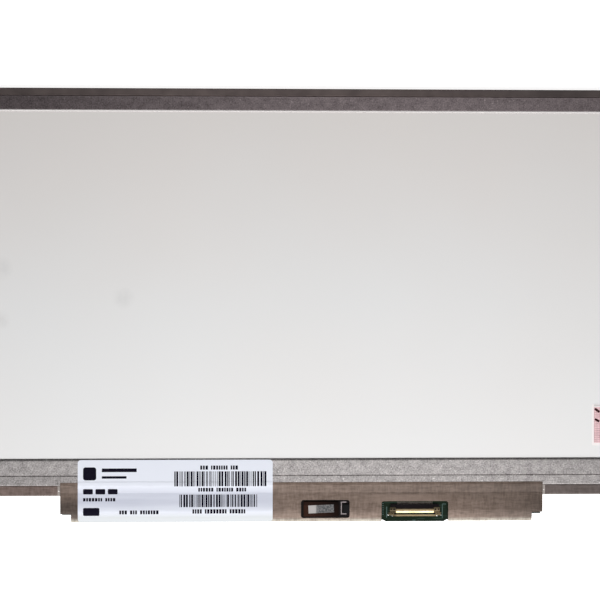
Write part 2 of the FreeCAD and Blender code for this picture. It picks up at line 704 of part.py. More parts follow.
def make_socket():
    """Signal socket: moulded housing, stamped shell and a row of folded contacts, by node name."""
    mouth_y = BOTTOM_Y + SOCKET_MOUTH
    roof_y = mouth_y + SHELL_ROOF_SETBACK
    rear_y = roof_y + TONGUE_DEPTH + SOCKET_REAR_DEPTH + CONTACT_TIP
    wall_y = rear_y - SOCKET_REAR_DEPTH
    row_half = (WAYS - 1) * PITCH / 2
    tongue_half = row_half + CONTACT_MARGIN
    roof_half = tongue_half + SHELL_STEP
    ear_half = roof_half + SHELL_STEP + SHELL_EAR
    shell_top = BOARD_BACK + SOCKET_HEIGHT
    ear_top = shell_top - SHELL_STEP
    tongue_zs = (BOARD_BACK + TONGUE_RISE, BOARD_BACK + TONGUE_RISE + TONGUE_SHEET)

    def span(half):
        return about(SOCKET_X, 2 * half)

    contact_top = tongue_zs[1] + CONTACT_SHEET
    leg_y = rear_y + CONTACT_LEG_GAP + CONTACT_SHEET
    contact_path = [
        (wall_y - TONGUE_DEPTH + CONTACT_TIP, contact_top),
        (leg_y, contact_top),
        (leg_y, BOARD_BACK + CONTACT_SHEET),
        (leg_y + CONTACT_FOOT, BOARD_BACK + CONTACT_SHEET),
    ]
    contact_section = folded(contact_path, CONTACT_SHEET)
    contacts = []
    for index in range(WAYS):
        x = SOCKET_X - row_half + index * PITCH
        contacts.append(along_x(contact_section, about(x, CONTACT_WIDTH)))

    front_y = mouth_y + END_BLOCK_SETBACK
    block_top = ear_top - SHELL_SHEET - CONNECTOR_CLEARANCE
    end_outer = ear_half - SHELL_SHEET - END_BLOCK_INSET
    end_inner = roof_half + SHELL_STEP
    rear_top = shell_top - SHELL_SHEET - CONNECTOR_CLEARANCE
    housing = block(span(end_outer), (wall_y, rear_y), (BOARD_BACK, block_top))
    pieces = [
        block(span(tongue_half), (wall_y, rear_y), (BOARD_BACK, rear_top)),
        block(span(tongue_half), (wall_y - TONGUE_DEPTH, wall_y), tongue_zs),
    ]
    for side in (-1, 1):
        ends = sorted((SOCKET_X + side * end_inner, SOCKET_X + side * end_outer))
        pieces.append(block(ends, (front_y, wall_y), (BOARD_BACK, block_top)))
    housing = housing.multiFuse(pieces).cut(Part.makeCompound(contacts)).removeSplitter()

    shell_path = [
        (SOCKET_X - ear_half, BOARD_BACK),
        (SOCKET_X - ear_half, ear_top),
        (SOCKET_X - roof_half - SHELL_STEP, ear_top),
        (SOCKET_X - roof_half, shell_top),
        (SOCKET_X + roof_half, shell_top),
        (SOCKET_X + roof_half + SHELL_STEP, ear_top),
        (SOCKET_X + ear_half, ear_top),
        (SOCKET_X + ear_half, BOARD_BACK),
    ]
    ear_front = mouth_y + SHELL_FRONT_SETBACK
    ear_rear = ear_front + SHELL_EAR_DEPTH
    shell = along_y(folded(shell_path, SHELL_SHEET), (ear_front, ear_rear))
    cuts = [block(span(roof_half), (ear_front, ear_rear), (BOARD_BACK, shell_top))]
    roof_path = [
        (roof_y, shell_top - SHELL_BROW_DROP),
        (roof_y + SHELL_BROW_DEPTH, shell_top),
        (roof_y + SHELL_ROOF_DEPTH, shell_top),
    ]
    lip_z = BOARD_BACK + SHELL_LIP_RISE
    lip_zs = (lip_z, lip_z + SHELL_SHEET)
    extras = [
        along_x(folded(roof_path, SHELL_SHEET), span(roof_half)),
        block(span(ear_half - SHELL_LIP_END), (mouth_y, mouth_y + SHELL_LIP_DEPTH), lip_zs),
    ]
    hole_y = mouth_y + EAR_HOLE_SETBACK
    for side in (-1, 1):
        edge = SOCKET_X + side * ear_half
        cheek_xs = sorted((edge, edge - side * SHELL_CHEEK))
        extras.append(block(cheek_xs, (ear_front, ear_front + SHELL_SHEET), (lip_z, ear_top)))
        foot_xs = sorted((edge - side * SHELL_SHEET, edge + side * SOLDER_FOOT))
        foot_ys = (ear_front, ear_front + SOLDER_FOOT_DEPTH)
        extras.append(block(foot_xs, foot_ys, (BOARD_BACK, BOARD_BACK + SHELL_SHEET)))
        throat_x = SOCKET_X + side * roof_half
        throat = [
            (throat_x, roof_y + SHELL_BROW_DEPTH),
            (throat_x + side * SHELL_THROAT, ear_front),
            (throat_x, ear_front),
        ]
        cuts.append(along_z(throat, (BOARD_BACK, shell_top)))
        ear_middle = edge - side * SHELL_EAR / 2
        for shift in both(EAR_HOLE_SPACING / 2):
            foot = FreeCAD.Vector(ear_middle + shift, hole_y, ear_top - SHELL_SHEET)
            cuts.append(Part.makeCylinder(EAR_HOLE_RADIUS, SHELL_SHEET, foot))
    shell = shell.cut(Part.makeCompound(cuts)).multiFuse(extras).removeSplitter()
    return {
        "connector_housing": housing,
        "connector_shell": shell,
        "connector_contacts": Part.makeCompound(contacts),
    }


def cover_path():
    """Lower face of the cover film in section, from the lamp carrier to the start of its bend."""
    return [
        (COVER_TOP_Y, BACK_Z),
        (CARRIER_Y, BACK_Z),
        (CARRIER_Y - COVER_RAMP, COVER_Z),
        (COVER_BEND_Y, COVER_Z),
    ]


def make_board_cover():
    """Film over the board, with stepped lower corners, a chip window and an open socket window."""
    angle = math.asin((COVER_BEND_RUN + COVER_OVERHANG) / COVER_BEND)
    half = COVER_WIDTH / 2
    film = bent_film(cover_path(), COVER_FILM, COVER_BEND, angle, both(half))
    low_y = film.BoundBox.YMin
    zs = (film.BoundBox.ZMin, film.BoundBox.ZMax)
    left_ys = (low_y, COVER_LOW_Y + COVER_LEFT_NOTCH)
    right_ys = (low_y, COVER_LOW_Y + COVER_RIGHT_NOTCH)
    chip_low = COVER_LOW_Y + CHIP_WINDOW_EDGE
    chip_ys = (chip_low, chip_low + CHIP_WINDOW_DEPTH)
    socket_ys = (low_y - 2 * WINDOW_RADIUS, COVER_LOW_Y + SOCKET_WINDOW_DEPTH)
    cuts = [
        block((-half, -half + COVER_NOTCH_WIDTH), left_ys, zs),
        block((half - COVER_NOTCH_WIDTH, half), right_ys, zs),
        round_block(about(CHIP_WINDOW_X, CHIP_WINDOW_WIDTH), chip_ys, zs, WINDOW_RADIUS),
        round_block(about(SOCKET_X, SOCKET_WINDOW_WIDTH), socket_ys, zs, WINDOW_RADIUS),
    ]
    return film.cut(Part.makeCompound(cuts)).removeSplitter()


def make_panel_label():
    """Label across the lower band and the cover, following the cover's bends."""
    cover_top = offset_path(cover_path(), COVER_FILM)
    path = [
        (LABEL_TOP_Y, BACK_Z),
        (COVER_TOP_Y + LABEL_RISE_RUN, BACK_Z),
        (COVER_TOP_Y, BACK_Z + COVER_FILM),
    ] + cover_top[1:]
    bend = COVER_BEND + COVER_FILM
    angle = math.asin((COVER_BEND_Y - LABEL_LOW_Y + LABEL) / bend)
    xs = about(LABEL_X, LABEL_WIDTH)
    film = bent_film(path, LABEL, bend, angle, xs)
    zs = (0, film.BoundBox.ZMax)
    return film.common(round_block(xs, (LABEL_LOW_Y, LABEL_TOP_Y), zs, LABEL_CORNER))


def make_seal_sticker():
    """Small sticker on the reflector, near the window's lower right corner."""
    right = WINDOW_X - STICKER_RIGHT_INSET
    low = WINDOW_LOW_Y + STICKER_ABOVE_RAIL
    zs = (TONGUE_Z, TONGUE_Z + STICKER)
    return round_block((right - STICKER_WIDTH, right), (low, low + STICKER_HEIGHT), zs, STICKER_CORNER)


def make_edge_tapes():
    """Tapes on the mould frame's upper and lower lips, by node name."""
    path = [
        (FRAME_TOP_Y + TAPE_CLEARANCE, LIP_Z + EDGE_TAPE),
        (TOP_Y, LIP_Z + EDGE_TAPE),
        (TOP_Y, LIP_Z + EDGE_TAPE - UPPER_TAPE_SKIRT),
    ]
    upper = along_x(folded(path, EDGE_TAPE), both(HALF_WIDTH - MOULD_CORNER - UPPER_TAPE_END))
    upper = upper.makeFillet(UPPER_TAPE_BEND - EDGE_TAPE, edges_along_x(upper, MOULD_TOP_Y, LIP_Z))
    upper = upper.makeFillet(UPPER_TAPE_BEND, edges_along_x(upper, TOP_Y, LIP_Z + EDGE_TAPE))
    near = COVER_WIDTH / 2 + LOWER_TAPE_GAP
    far = HALF_WIDTH - MOULD_CORNER - LOWER_TAPE_END
    ys = (LOWER_Y, CARRIER_Y - CARRIER_CLEARANCE)
    zs = (LIP_Z, LIP_Z + EDGE_TAPE)
    return {
        "upper_edge_tape": upper,
        "lower_edge_tape_left": block((-far, -near), ys, zs),
        "lower_edge_tape_right": block((near, far), ys, zs),
    }


def make_chips():
    """Chips on the board's back and the code label on the largest, by node name."""
    window_y = COVER_LOW_Y + CHIP_WINDOW_EDGE + CHIP_WINDOW_DEPTH / 2
    middle_y = (BOARD_TOP_Y + COVER_BEND_Y) / 2
    label_z = BOARD_BACK + TIMING_CHIP_HEIGHT
    label_zs = (label_z, label_z + CODE_LABEL)
    code = block(about(TIMING_CHIP_X, CODE_LABEL_LENGTH), about(window_y, CODE_LABEL_WIDTH), label_zs)
    code.rotate(FreeCAD.Vector(TIMING_CHIP_X, window_y, label_z), FreeCAD.Vector(0, 0, 1), CODE_LABEL_TURN)
    timing = chip(TIMING_CHIP_X, window_y, TIMING_CHIP_LENGTH, TIMING_CHIP_WIDTH, TIMING_CHIP_HEIGHT)
    side = LAMP_DRIVER_SIDE
    lamp_driver = chip(LAMP_DRIVER_X, middle_y, side, side, LAMP_DRIVER_HEIGHT)
    return {
        "timing_chip": timing,
        "code_label": code,
        "rectifier_diode": chip(DIODE_X, window_y, DIODE_LENGTH, DIODE_WIDTH, DIODE_HEIGHT),
        "led_driver_chip": lamp_driver,
    }


def make_nodes():
    """Every piece of the module, by node name."""
    nodes = {
        "mould_frame": make_mould_frame(),
        "back_frame": make_back_frame(),
        "led_carrier": make_led_carrier(),
        "rim_tape": make_rim_tape(),
        "led_flex": make_led_flex(),
        "leds": make_leds(),
        "circuit_board": make_circuit_board(),
        "power_inductor": make_power_inductor(),
        "capacitors": make_capacitors(),
        "board_cover": make_board_cover(),
        "panel_label": make_panel_label(),
        "seal_sticker": make_seal_sticker(),
    }
    for index, x in enumerate(film_places(), start=1):
        nodes[f"driver_film_{index}"] = make_driver_film(x)
        nodes[f"driver_chip_{index}"] = make_driver_chip(x)
    for group in (make_glass_stack, make_optical_sheets, make_chips, make_socket, make_edge_tapes):
        nodes.update(group())
    return nodes


os.makedirs("parts", exist_ok=True)
for name, shape in make_nodes().items():
    shape.exportStep(f"parts/{name}.step")
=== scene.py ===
"""Looks of a slim laptop display module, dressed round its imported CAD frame.

The CAD nodes keep their shapes and get procedural finishes. The print on the labels, the marks and
solder on the board, and the studio are made here. Blender works in metres. Sizes are written in
millimetres and turned into metres with MM.
"""

import logging
import math
import random
from dataclasses import dataclass, field, replace
from enum import Enum

import bmesh
import bpy
from mathutils import Matrix, Vector
from mathutils.bvhtree import BVHTree


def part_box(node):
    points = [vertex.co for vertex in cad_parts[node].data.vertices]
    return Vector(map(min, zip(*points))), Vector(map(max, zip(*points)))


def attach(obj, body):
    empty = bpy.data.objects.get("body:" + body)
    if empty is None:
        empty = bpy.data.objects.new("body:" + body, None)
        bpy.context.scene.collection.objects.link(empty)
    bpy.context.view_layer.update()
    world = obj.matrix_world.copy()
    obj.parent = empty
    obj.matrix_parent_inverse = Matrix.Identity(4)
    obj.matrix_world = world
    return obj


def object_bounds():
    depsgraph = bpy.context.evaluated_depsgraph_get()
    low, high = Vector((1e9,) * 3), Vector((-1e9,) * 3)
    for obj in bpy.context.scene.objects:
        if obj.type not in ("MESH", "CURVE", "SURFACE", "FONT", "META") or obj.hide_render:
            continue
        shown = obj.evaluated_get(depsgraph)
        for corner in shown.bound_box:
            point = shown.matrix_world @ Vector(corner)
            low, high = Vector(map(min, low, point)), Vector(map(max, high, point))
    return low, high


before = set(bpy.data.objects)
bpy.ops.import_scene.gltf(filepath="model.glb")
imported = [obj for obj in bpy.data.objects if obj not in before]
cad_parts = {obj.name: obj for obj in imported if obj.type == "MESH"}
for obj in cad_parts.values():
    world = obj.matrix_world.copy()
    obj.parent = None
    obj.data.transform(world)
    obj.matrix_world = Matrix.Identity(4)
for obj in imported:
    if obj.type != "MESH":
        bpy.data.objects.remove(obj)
CAD_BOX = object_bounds()

Span = tuple[float, float]
Rect = tuple[Span, Span]
Print = tuple[Span, Span, float]  # ends along X and Y, and radius of the corners
Colour = tuple[float, float, float]
Place = tuple[float, float, float]
Socket = bpy.types.NodeSocket
Value = bpy.types.NodeSocket | float | tuple[float, ...]

MM = 0.001
BODY = "root"
WHITE: Colour = (1.0, 1.0, 1.0)
OPAQUE = 1.0  # alpha of every colour
LEVEL: Place = (1.0, 1.0, 0.0)  # a vector is laid flat by multiplying it with this
WHOLE: Span = (0.0, 1.0)  # a share from none to all
FALLING: Span = (1.0, 0.0)  # a share from all to none
MATRIX_SIZE = 4  # rows and columns of a matrix that places a thing
MIX_INPUTS = (0, 6, 7)  # share, first and second colour among the mix node's inputs
MIX_OUTPUT = 2  # the mixed colour among its outputs
WAVE_PERIOD = 2 * math.pi / 20  # length of one band of the wave texture at scale 1
NOISE_SPAN = (0.3, 0.7)  # where most values of the noise texture lie
FLECK_SPAN = (0.38, 0.62)  # a narrower span, for patterns with more contrast
SPARSE_SPAN = (0.66, 0.74)  # its highest values, for flecks that lie far apart

log = logging.getLogger("display_module")


def box_mm(node: str) -> tuple[Vector, Vector]:
    """Give a CAD node's box in millimetres.

    Args:
        node: name of the CAD node.

    Returns:
        Its low and high corners.
    """
    low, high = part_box(node)
    return low / MM, high / MM


# Shader building


def fill_ramp(ramp: bpy.types.Node, stops: tuple[Span, ...]) -> None:
    """Set the greys of a colour ramp.

    Args:
        ramp: the ramp's node.
        stops: position and grey of each stop, in order.
    """
    elements = ramp.color_ramp.elements
    while len(elements) < len(stops):
        elements.new(1.0)
    for element, (position, grey) in zip(elements, stops):
        element.position = position
        element.color = (grey, grey, grey, OPAQUE)


class Axis(Enum):
    """An axis of the module's frame."""

    X = 0
    Y = 1
    Z = 2


class ShaderGraph:
    """Node tree of one material, with short calls for the patterns that the finishes use."""

    def __init__(self, name: str) -> None:
        """Start a tree that has only its shader and output.

        Args:
            name: name of the material.
        """
        self.material = bpy.data.materials.new(name)
        self.material.use_nodes = True
        self.tree = self.material.node_tree
        self.tree.nodes.clear()
        self.shader = self.tree.nodes.new("ShaderNodeBsdfPrincipled")
        output = self.tree.nodes.new("ShaderNodeOutputMaterial")
        self.tree.links.new(self.shader.outputs["BSDF"], output.inputs["Surface"])
        self.place = self.tree.nodes.new("ShaderNodeTexCoord").outputs["Object"]

    def give(self, target: Socket, value: Value) -> None:
        """Set an input to a value, or link it to another node's output.

        Args:
            target: the input socket.
            value: an output socket, a number, a vector or a colour.
        """
        if isinstance(value, bpy.types.NodeSocket):
            self.tree.links.new(value, target)
        elif target.type == "RGBA":
            target.default_value = (*value, OPAQUE)
        else:
            target.default_value = value

    def node(self, kind: str, inputs: dict[str | int, Value], **settings: str | bool) -> bpy.types.Node:
        """Add a node.

        Args:
            kind: Blender's name of the node type.
            inputs: values or sockets by input name or number.
            settings: the node's own options.

        Returns:
            The new node.
        """
        made = self.tree.nodes.new(kind)
        for key, setting in settings.items():
            setattr(made, key, setting)
        for key, value in inputs.items():
            self.give(made.inputs[key], value)
        return made

    def shade(self, inputs: dict[str, Value]) -> None:
        """Set or link inputs of the surface shader.

        Args:
            inputs: values or sockets by input name.
        """
        for key, value in inputs.items():
            self.give(self.shader.inputs[key], value)

    def laid(self, size: float | Place, centre: Place = (0.0, 0.0, 0.0)) -> Socket:
        """Object coordinates measured from a centre in units of a size.

        Args:
            size: length in millimetres that becomes one unit, for all axes or for each.
            centre: point in millimetres that becomes zero.

        Returns:
            The vector socket.
        """
        sizes = size if isinstance(size, tuple) else (size, size, size)
        inputs = {
            "Vector": self.place,
            "Location": tuple(c * MM for c in centre),
            "Scale": tuple(s * MM for s in sizes),
        }
        return self.node("ShaderNodeMapping", inputs, vector_type="TEXTURE").outputs["Vector"]

    def noise(self, size: float | Place, detail: float) -> Socket:
        """Soft random pattern.

        Args:
            size: size of its patches in millimetres, for all axes or for each.
            detail: how many finer layers it has.

        Returns:
            A value from 0 to 1.
        """
        inputs = {"Vector": self.laid(size), "Scale": 1.0, "Detail": detail}
        return self.node("ShaderNodeTexNoise", inputs).outputs["Fac"]

    def bands(self, axis: Axis, period: float) -> Socket:
        """Soft stripes across one axis.

        Args:
            axis: axis that the stripes follow each other along.
            period: length of one stripe and its gap in millimetres.

        Returns:
            A value from 0 to 1.
        """
        inputs = {"Vector": self.laid(period / WAVE_PERIOD), "Scale": 1.0, "Distortion": 0.0}
        wave = self.node("ShaderNodeTexWave", inputs, wave_type="BANDS", bands_direction=axis.name)
        return wave.outputs["Fac"]

    def along(self, axis: Axis) -> Socket:
        """Place on one axis, in metres."""
        return self.node("ShaderNodeSeparateXYZ", {"Vector": self.place}).outputs[axis.value]

    def spread(self, value: Value, source: Span, target: Span) -> Socket:
        """Turn one range of values into another, held at its ends.

        Args:
            value: the value to turn.
            source: the range that it comes in.
            target: the range that it leaves in.

        Returns:
            The new value.
        """
        inputs = dict(enumerate((value, *source, *target)))
        return self.node("ShaderNodeMapRange", inputs, clamp=True).outputs[0]

    def climb(self, axis: Axis, span: Span) -> Socket:
        """Share that climbs from 0 to 1 between two places on an axis.

        Args:
            axis: axis that is looked along.
            span: the two places in millimetres.

        Returns:
            A value from 0 to 1.
        """
        return self.spread(self.along(axis), (span[0] * MM, span[1] * MM), WHOLE)

    def calc(self, operation: str, first: Value, second: Value = 0.0) -> Socket:
        """Work out one sum.

        Args:
            operation: Blender's name of the operation.
            first: first value.
            second: second value.

        Returns:
            The result.
        """
        return self.node("ShaderNodeMath", {0: first, 1: second}, operation=operation).outputs[0]

    def mix(self, share: Value, first: Value, second: Value) -> Socket:
        """Mix two colours.

        Args:
            share: how much of the second colour there is.
            first: colour at 0.
            second: colour at 1.

        Returns:
            The colour.
        """
        inputs = dict(zip(MIX_INPUTS, (share, first, second)))
        return self.node("ShaderNodeMix", inputs, data_type="RGBA").outputs[MIX_OUTPUT]

    def tones(self, axis: Axis, start: float, stops: tuple[Span, ...]) -> Socket:
        """Tone that changes along an axis from stop to stop.

        Args:
            axis: axis that is looked along.
            start: place in millimetres that the stops are measured from.
            stops: distance in millimetres and tone of each stop, in order.

        Returns:
            The tone as a grey colour.
        """
        reach = stops[-1][0]
        share = self.climb(axis, (start, start + reach))
        ramp = self.node("ShaderNodeValToRGB", {"Fac": share})
        fill_ramp(ramp, tuple((distance / reach, tone) for distance, tone in stops))
        return ramp.outputs["Color"]

    def tint(self, first: Value, second: Value) -> Socket:
        """Multiply two colours.

        Args:
            first: one colour.
            second: the other colour.

        Returns:
            The product.
        """
        inputs = dict(zip(MIX_INPUTS, (1.0, first, second)))
        product = self.node("ShaderNodeMix", inputs, data_type="RGBA", blend_type="MULTIPLY")
        return product.outputs[MIX_OUTPUT]

    def within(self, axis: Axis, span: Span, edge: float) -> Socket:
        """Mask that is 1 between two places on an axis.

        Args:
            axis: axis that is looked along.
            span: the two places in millimetres.
            edge: width of the soft edge in millimetres.

        Returns:
            A value from 0 to 1.
        """
        middle = (span[0] + span[1]) / 2 * MM
        half = (span[1] - span[0]) / 2 * MM
        away = self.calc("ABSOLUTE", self.calc("SUBTRACT", self.along(axis), middle))
        return self.spread(away, (half - edge * MM, half), FALLING)

    def relief(self, height: Socket, depth: float) -> None:
        """Raise the surface's shading by a pattern.

        Args:
            height: the pattern, from 0 to 1.
            depth: its height in millimetres.
        """
        inputs = {"Height": height, "Distance": depth * MM, "Strength": 1.0}
        self.give(self.shader.inputs["Normal"], self.node("ShaderNodeBump", inputs).outputs["Normal"])


# Finishes


@dataclass(frozen=True)
class Toning:
    """Tones along an axis from a CAD node's low end, by distance in millimetres; the finishes use them mainly
    to paint light and shade into the base colour.
    """

    node: str
    axis: Axis
    stops: tuple[Span, ...]

    def tone(self, graph: ShaderGraph) -> Socket:
        """Give the tone as a grey colour.

        Args:
            graph: the tree to add to.

        Returns:
            The colour.
        """
        return graph.tones(self.axis, box_mm(self.node)[0][self.axis.value], self.stops)


@dataclass(frozen=True)
class Pattern:
    """A soft random pattern: its patches' size in millimetres, its detail, and the shares it runs between."""

    size: float | Place
    detail: float
    shares: Span = WHOLE
    span: Span = NOISE_SPAN

    def value(self, graph: ShaderGraph) -> Socket:
        """Give the plain pattern, from 0 to 1."""
        return graph.noise(self.size, self.detail)

    def share(self, graph: ShaderGraph) -> Socket:
        """Give the pattern spread between its two shares."""
        return graph.spread(self.value(graph), self.span, self.shares)


@dataclass(frozen=True)
class Patch:
    """A soft-edged field: its ends and edge widths along X and Y, in millimetres, and its strength."""

    xs: Span
    ys: Span
    edges: Span
    strength: float

    def mask(self, graph: ShaderGraph) -> Socket:
        """Give the field as a mask.

        Args:
            graph: the tree to add to.

        Returns:
            A value from 0 to the strength.
        """
        across = graph.within(Axis.X, self.xs, self.edges[0])
        up = graph.within(Axis.Y, self.ys, self.edges[1])
        return graph.calc("MULTIPLY", graph.calc("MULTIPLY", across, up), self.strength)


@dataclass(frozen=True)
class Finish:
    """A surface finish with its material."""

    name: str
    # Tonings multiply the base colour along an axis; they are mostly painted light and shade.
    tonings: tuple[Toning, ...] = field(default=(), kw_only=True)

    def paint(self, graph: ShaderGraph) -> None:
        """Put the finish's shader together.

        Args:
            graph: the tree to fill.
        """
        raise NotImplementedError(self.name)

    def material(self) -> bpy.types.Material:
        """Give the finish's material, made at its first use.

        Returns:
            The material.
        """
        made = bpy.data.materials.get(self.name)
        if made is None:
            graph = ShaderGraph(self.name)
            self.paint(graph)
            for toning in self.tonings:
                plain = graph.shader.inputs["Base Color"].links[0].from_socket
                graph.shade({"Base Color": graph.tint(plain, toning.tone(graph))})
            made = graph.material
        return made


@dataclass(frozen=True)
class PressedMetal(Finish):
    """Sheet metal with a fine rolled grain and a dull coat, with painted shade along it that is darker and
    warmer on its upper half.
    """

    dark: Colour
    light: Colour
    grain: float
    depth: float
    roughness: float
    # Painted shade along the module: tone stops along X for the lower and the upper half, darker towards the
    # ends, and darker and warmer overall on the upper half.
    lower: tuple[Span, ...]
    upper: tuple[Span, ...] = (
        (0.0, 0.42),
        (33.0, 0.47),
        (82.0, 0.68),
        (144.0, 0.93),
        (206.0, 1.0),
        (255.0, 0.84),
        (290.0, 0.72),
    )
    upper_shade_tint: Colour = (1.0, 0.89, 0.93)
    halves: Span = (-10.0, 10.0)
    sparkle: Colour = (0.95, 0.92, 0.90)
    lip: Span = (79.9, 80.95)
    lip_edge: float = 0.2
    lip_colour: Colour = (0.38, 0.36, 0.357)
    lip_height: float = 0.5
    # Painted light: a pale, non-metallic band over the outer bend, standing in for light where the bend
    # reflects the dark side.
    painted_light_bend: Span | None = None
    painted_light_bend_colour: Colour = (0.42, 0.385, 0.385)
    grain_detail: float = 4.0
    grain_shares: Span = (0.0, 0.65)
    patch_grains: float = 5.0
    patch_detail: float = 3.0
    patch_shares: Span = (0.0, 0.35)
    fleck_grains: float = 1.7
    fleck_detail: float = 1.0
    fleck_shares: Span = (0.0, 0.55)
    roughness_swing: float = 0.05

    def paint(self, graph: ShaderGraph) -> None:
        """Paint the grained metal, a smooth lip without the grain's relief, and painted light on the bend.

        Args:
            graph: the tree to fill.
        """
        grain = graph.noise(self.grain, self.grain_detail)
        metal = self.grained(graph, grain)
        metallic = 1.0
        # Painted light on the outer bend.
        if self.painted_light_bend is not None:
            painted_light_bend = graph.climb(Axis.Y, self.painted_light_bend)
            metal = graph.mix(painted_light_bend, metal, self.painted_light_bend_colour)
            metallic = graph.calc("SUBTRACT", 1.0, painted_light_bend)
        smooth = graph.within(Axis.Y, self.lip, self.lip_edge)
        rough = graph.calc("MULTIPLY", grain, graph.calc("SUBTRACT", 1.0, smooth))
        height = graph.calc("ADD", rough, graph.calc("MULTIPLY", smooth, self.lip_height))
        dull = (self.roughness + self.roughness_swing, self.roughness - self.roughness_swing)
        toned = graph.tint(metal, self.painted_long_shade(graph))
        graph.shade(
            {
                "Base Color": graph.mix(smooth, toned, self.lip_colour),
                "Metallic": metallic,
                "Roughness": graph.spread(height, NOISE_SPAN, dull),
            }
        )
        graph.relief(height, self.depth)

    def grained(self, graph: ShaderGraph, grain: Socket) -> Socket:
        """Colour the grain, its patches and its bright flecks.

        Args:
            graph: the tree to add to.
            grain: the grain's pattern.

        Returns:
            The colour.
        """
        patches = Pattern(self.grain * self.patch_grains, self.patch_detail, self.patch_shares)
        flecks = Pattern(self.grain * self.fleck_grains, self.fleck_detail, self.fleck_shares, SPARSE_SPAN)
        fine = graph.spread(grain, NOISE_SPAN, self.grain_shares)
        tone = graph.calc("ADD", fine, patches.share(graph))
        return graph.mix(flecks.share(graph), graph.mix(tone, self.dark, self.light), self.sparkle)

    def painted_long_shade(self, graph: ShaderGraph) -> Socket:
        """Give the painted shade along the module, for its lower and its upper half.

        Args:
            graph: the tree to add to.

        Returns:
            The colour to tint the metal with.
        """
        start = CAD_BOX[0].x / MM
        above = graph.tint(graph.tones(Axis.X, start, self.upper), self.upper_shade_tint)
        below = graph.tones(Axis.X, start, self.lower)
        return graph.mix(graph.climb(Axis.Y, self.halves), below, above)


@dataclass(frozen=True)
class Moulded(Finish):
    """Plastic, resin, ceramic or tape with a mottled tone and a fine surface grain."""

    dark: Colour
    light: Colour
    grain: float
    depth: float
    roughness: float
    mottle: float = 6.0
    gloss: float = 0.5
    coat: float = 0.0
    coat_roughness: float = 0.2
    mottle_detail: float = 4.0
    grain_detail: float = 3.0
    roughness_swing: float = 0.06

    def paint(self, graph: ShaderGraph) -> None:
        """Paint mottled colour, uneven gloss and the grain's relief.

        Args:
            graph: the tree to fill.
        """
        mottle = Pattern(self.mottle, self.mottle_detail).share(graph)
        grain = graph.noise(self.grain, self.grain_detail)
        dull = (self.roughness - self.roughness_swing, self.roughness + self.roughness_swing)
        graph.shade(
            {
                "Base Color": graph.mix(mottle, self.dark, self.light),
                "Roughness": graph.spread(grain, NOISE_SPAN, dull),
                "Specular IOR Level": self.gloss,
                "Coat Weight": self.coat,
                "Coat Roughness": self.coat_roughness,
            }
        )
        graph.relief(grain, self.depth)


@dataclass(frozen=True)
class ClearSheet(Finish):
    """Glass, acrylic or film that light passes through, plain or with fine ribs."""

    tint: Colour
    haze: float
    transmission: float
    ribs: float = 0.0
    rib_depth: float = 0.25
    cloud: Pattern = Pattern(9.0, 3.0)
    cloud_gain: float = 1.06
    cloud_depth: float = 0.01
    haze_swing: float = 0.06
    refraction: float = 1.5

    def paint(self, graph: ShaderGraph) -> None:
        """Paint a faint cloud in the clear sheet, and its ribs.

        Args:
            graph: the tree to fill.
        """
        cloud = self.cloud.value(graph)
        paler = tuple(min(1.0, c * self.cloud_gain) for c in self.tint)
        dull = (self.haze, self.haze + self.haze_swing)
        graph.shade(
            {
                "Base Color": graph.mix(graph.spread(cloud, NOISE_SPAN, WHOLE), self.tint, paler),
                "Roughness": graph.spread(cloud, NOISE_SPAN, dull),
                "Transmission Weight": self.transmission,
                "IOR": self.refraction,
            }
        )
        if self.ribs > 0:
            graph.relief(graph.bands(Axis.Y, self.ribs), self.ribs * self.rib_depth)
        else:
            graph.relief(cloud, self.cloud_depth)


@dataclass(frozen=True)
class DimpleShade:
    """Painted shade of a shallow dimple in the sheet, drawn as a faint round mark: its place and radius in
    millimetres.
    """

    x: float
    y: float
    radius: float


@dataclass(frozen=True)
class ReflectorFilm(Finish):
    """Smooth white film with faint clouds of warm and cool tint, painted shade that turns its upper part
    warmer and darker, and painted shade of a few shallow dimples.
    """

    cool: Colour
    warm: Colour
    dimple_shade: Colour
    dimple_shades: tuple[DimpleShade, ...]
    roughness: float
    cloud: Pattern = Pattern(70.0, 1.0, (0.0, 0.25))
    # Share of the warmer, darker colour that is painted in as shade towards the upper edge.
    upper_shares: Span = (0.0, 0.9)
    dimple_shade_grain: float = 0.5
    dimple_shade_detail: float = 3.0
    wave: Pattern = Pattern(26.0, 1.0)
    wave_depth: float = 0.05
    roughness_swing: float = 0.04
    gloss: float = 0.35

    def paint(self, graph: ShaderGraph) -> None:
        """Paint the clouds, the painted shade of the upper part and of the dimples, and a slight waviness.

        Args:
            graph: the tree to fill.
        """
        # Painted shade: warmer and darker towards the upper edge.
        upper = graph.spread(graph.along(Axis.Y), (0.0, CAD_BOX[1].y), self.upper_shares)
        colour = graph.mix(graph.calc("ADD", self.cloud.share(graph), upper), self.cool, self.warm)
        # Painted shade of each dimple.
        for mark in self.dimple_shades:
            grain = graph.noise(mark.radius * self.dimple_shade_grain, self.dimple_shade_detail)
            ragged = graph.calc("MULTIPLY", self.spot(graph, mark), grain)
            colour = graph.mix(ragged, colour, self.dimple_shade)
        wave = self.wave.value(graph)
        dull = (self.roughness - self.roughness_swing, self.roughness + self.roughness_swing)
        graph.shade(
            {
                "Base Color": colour,
                "Roughness": graph.spread(wave, NOISE_SPAN, dull),
                "Specular IOR Level": self.gloss,
            }
        )
        graph.relief(wave, self.wave_depth)

    def spot(self, graph: ShaderGraph, mark: DimpleShade) -> Socket:
        """Give a mask that fades from a mark's middle to its rim.

        Args:
            graph: the tree to add to.
            mark: the mark.

        Returns:
            A value from 0 to 1.
        """
        around = graph.laid(mark.radius, (mark.x, mark.y, 0.0))
        flat = graph.node("ShaderNodeVectorMath", {0: around, 1: LEVEL}, operation="MULTIPLY").outputs[0]
        made = graph.node("ShaderNodeTexGradient", {"Vector": flat}, gradient_type="SPHERICAL")
        return made.outputs["Fac"]


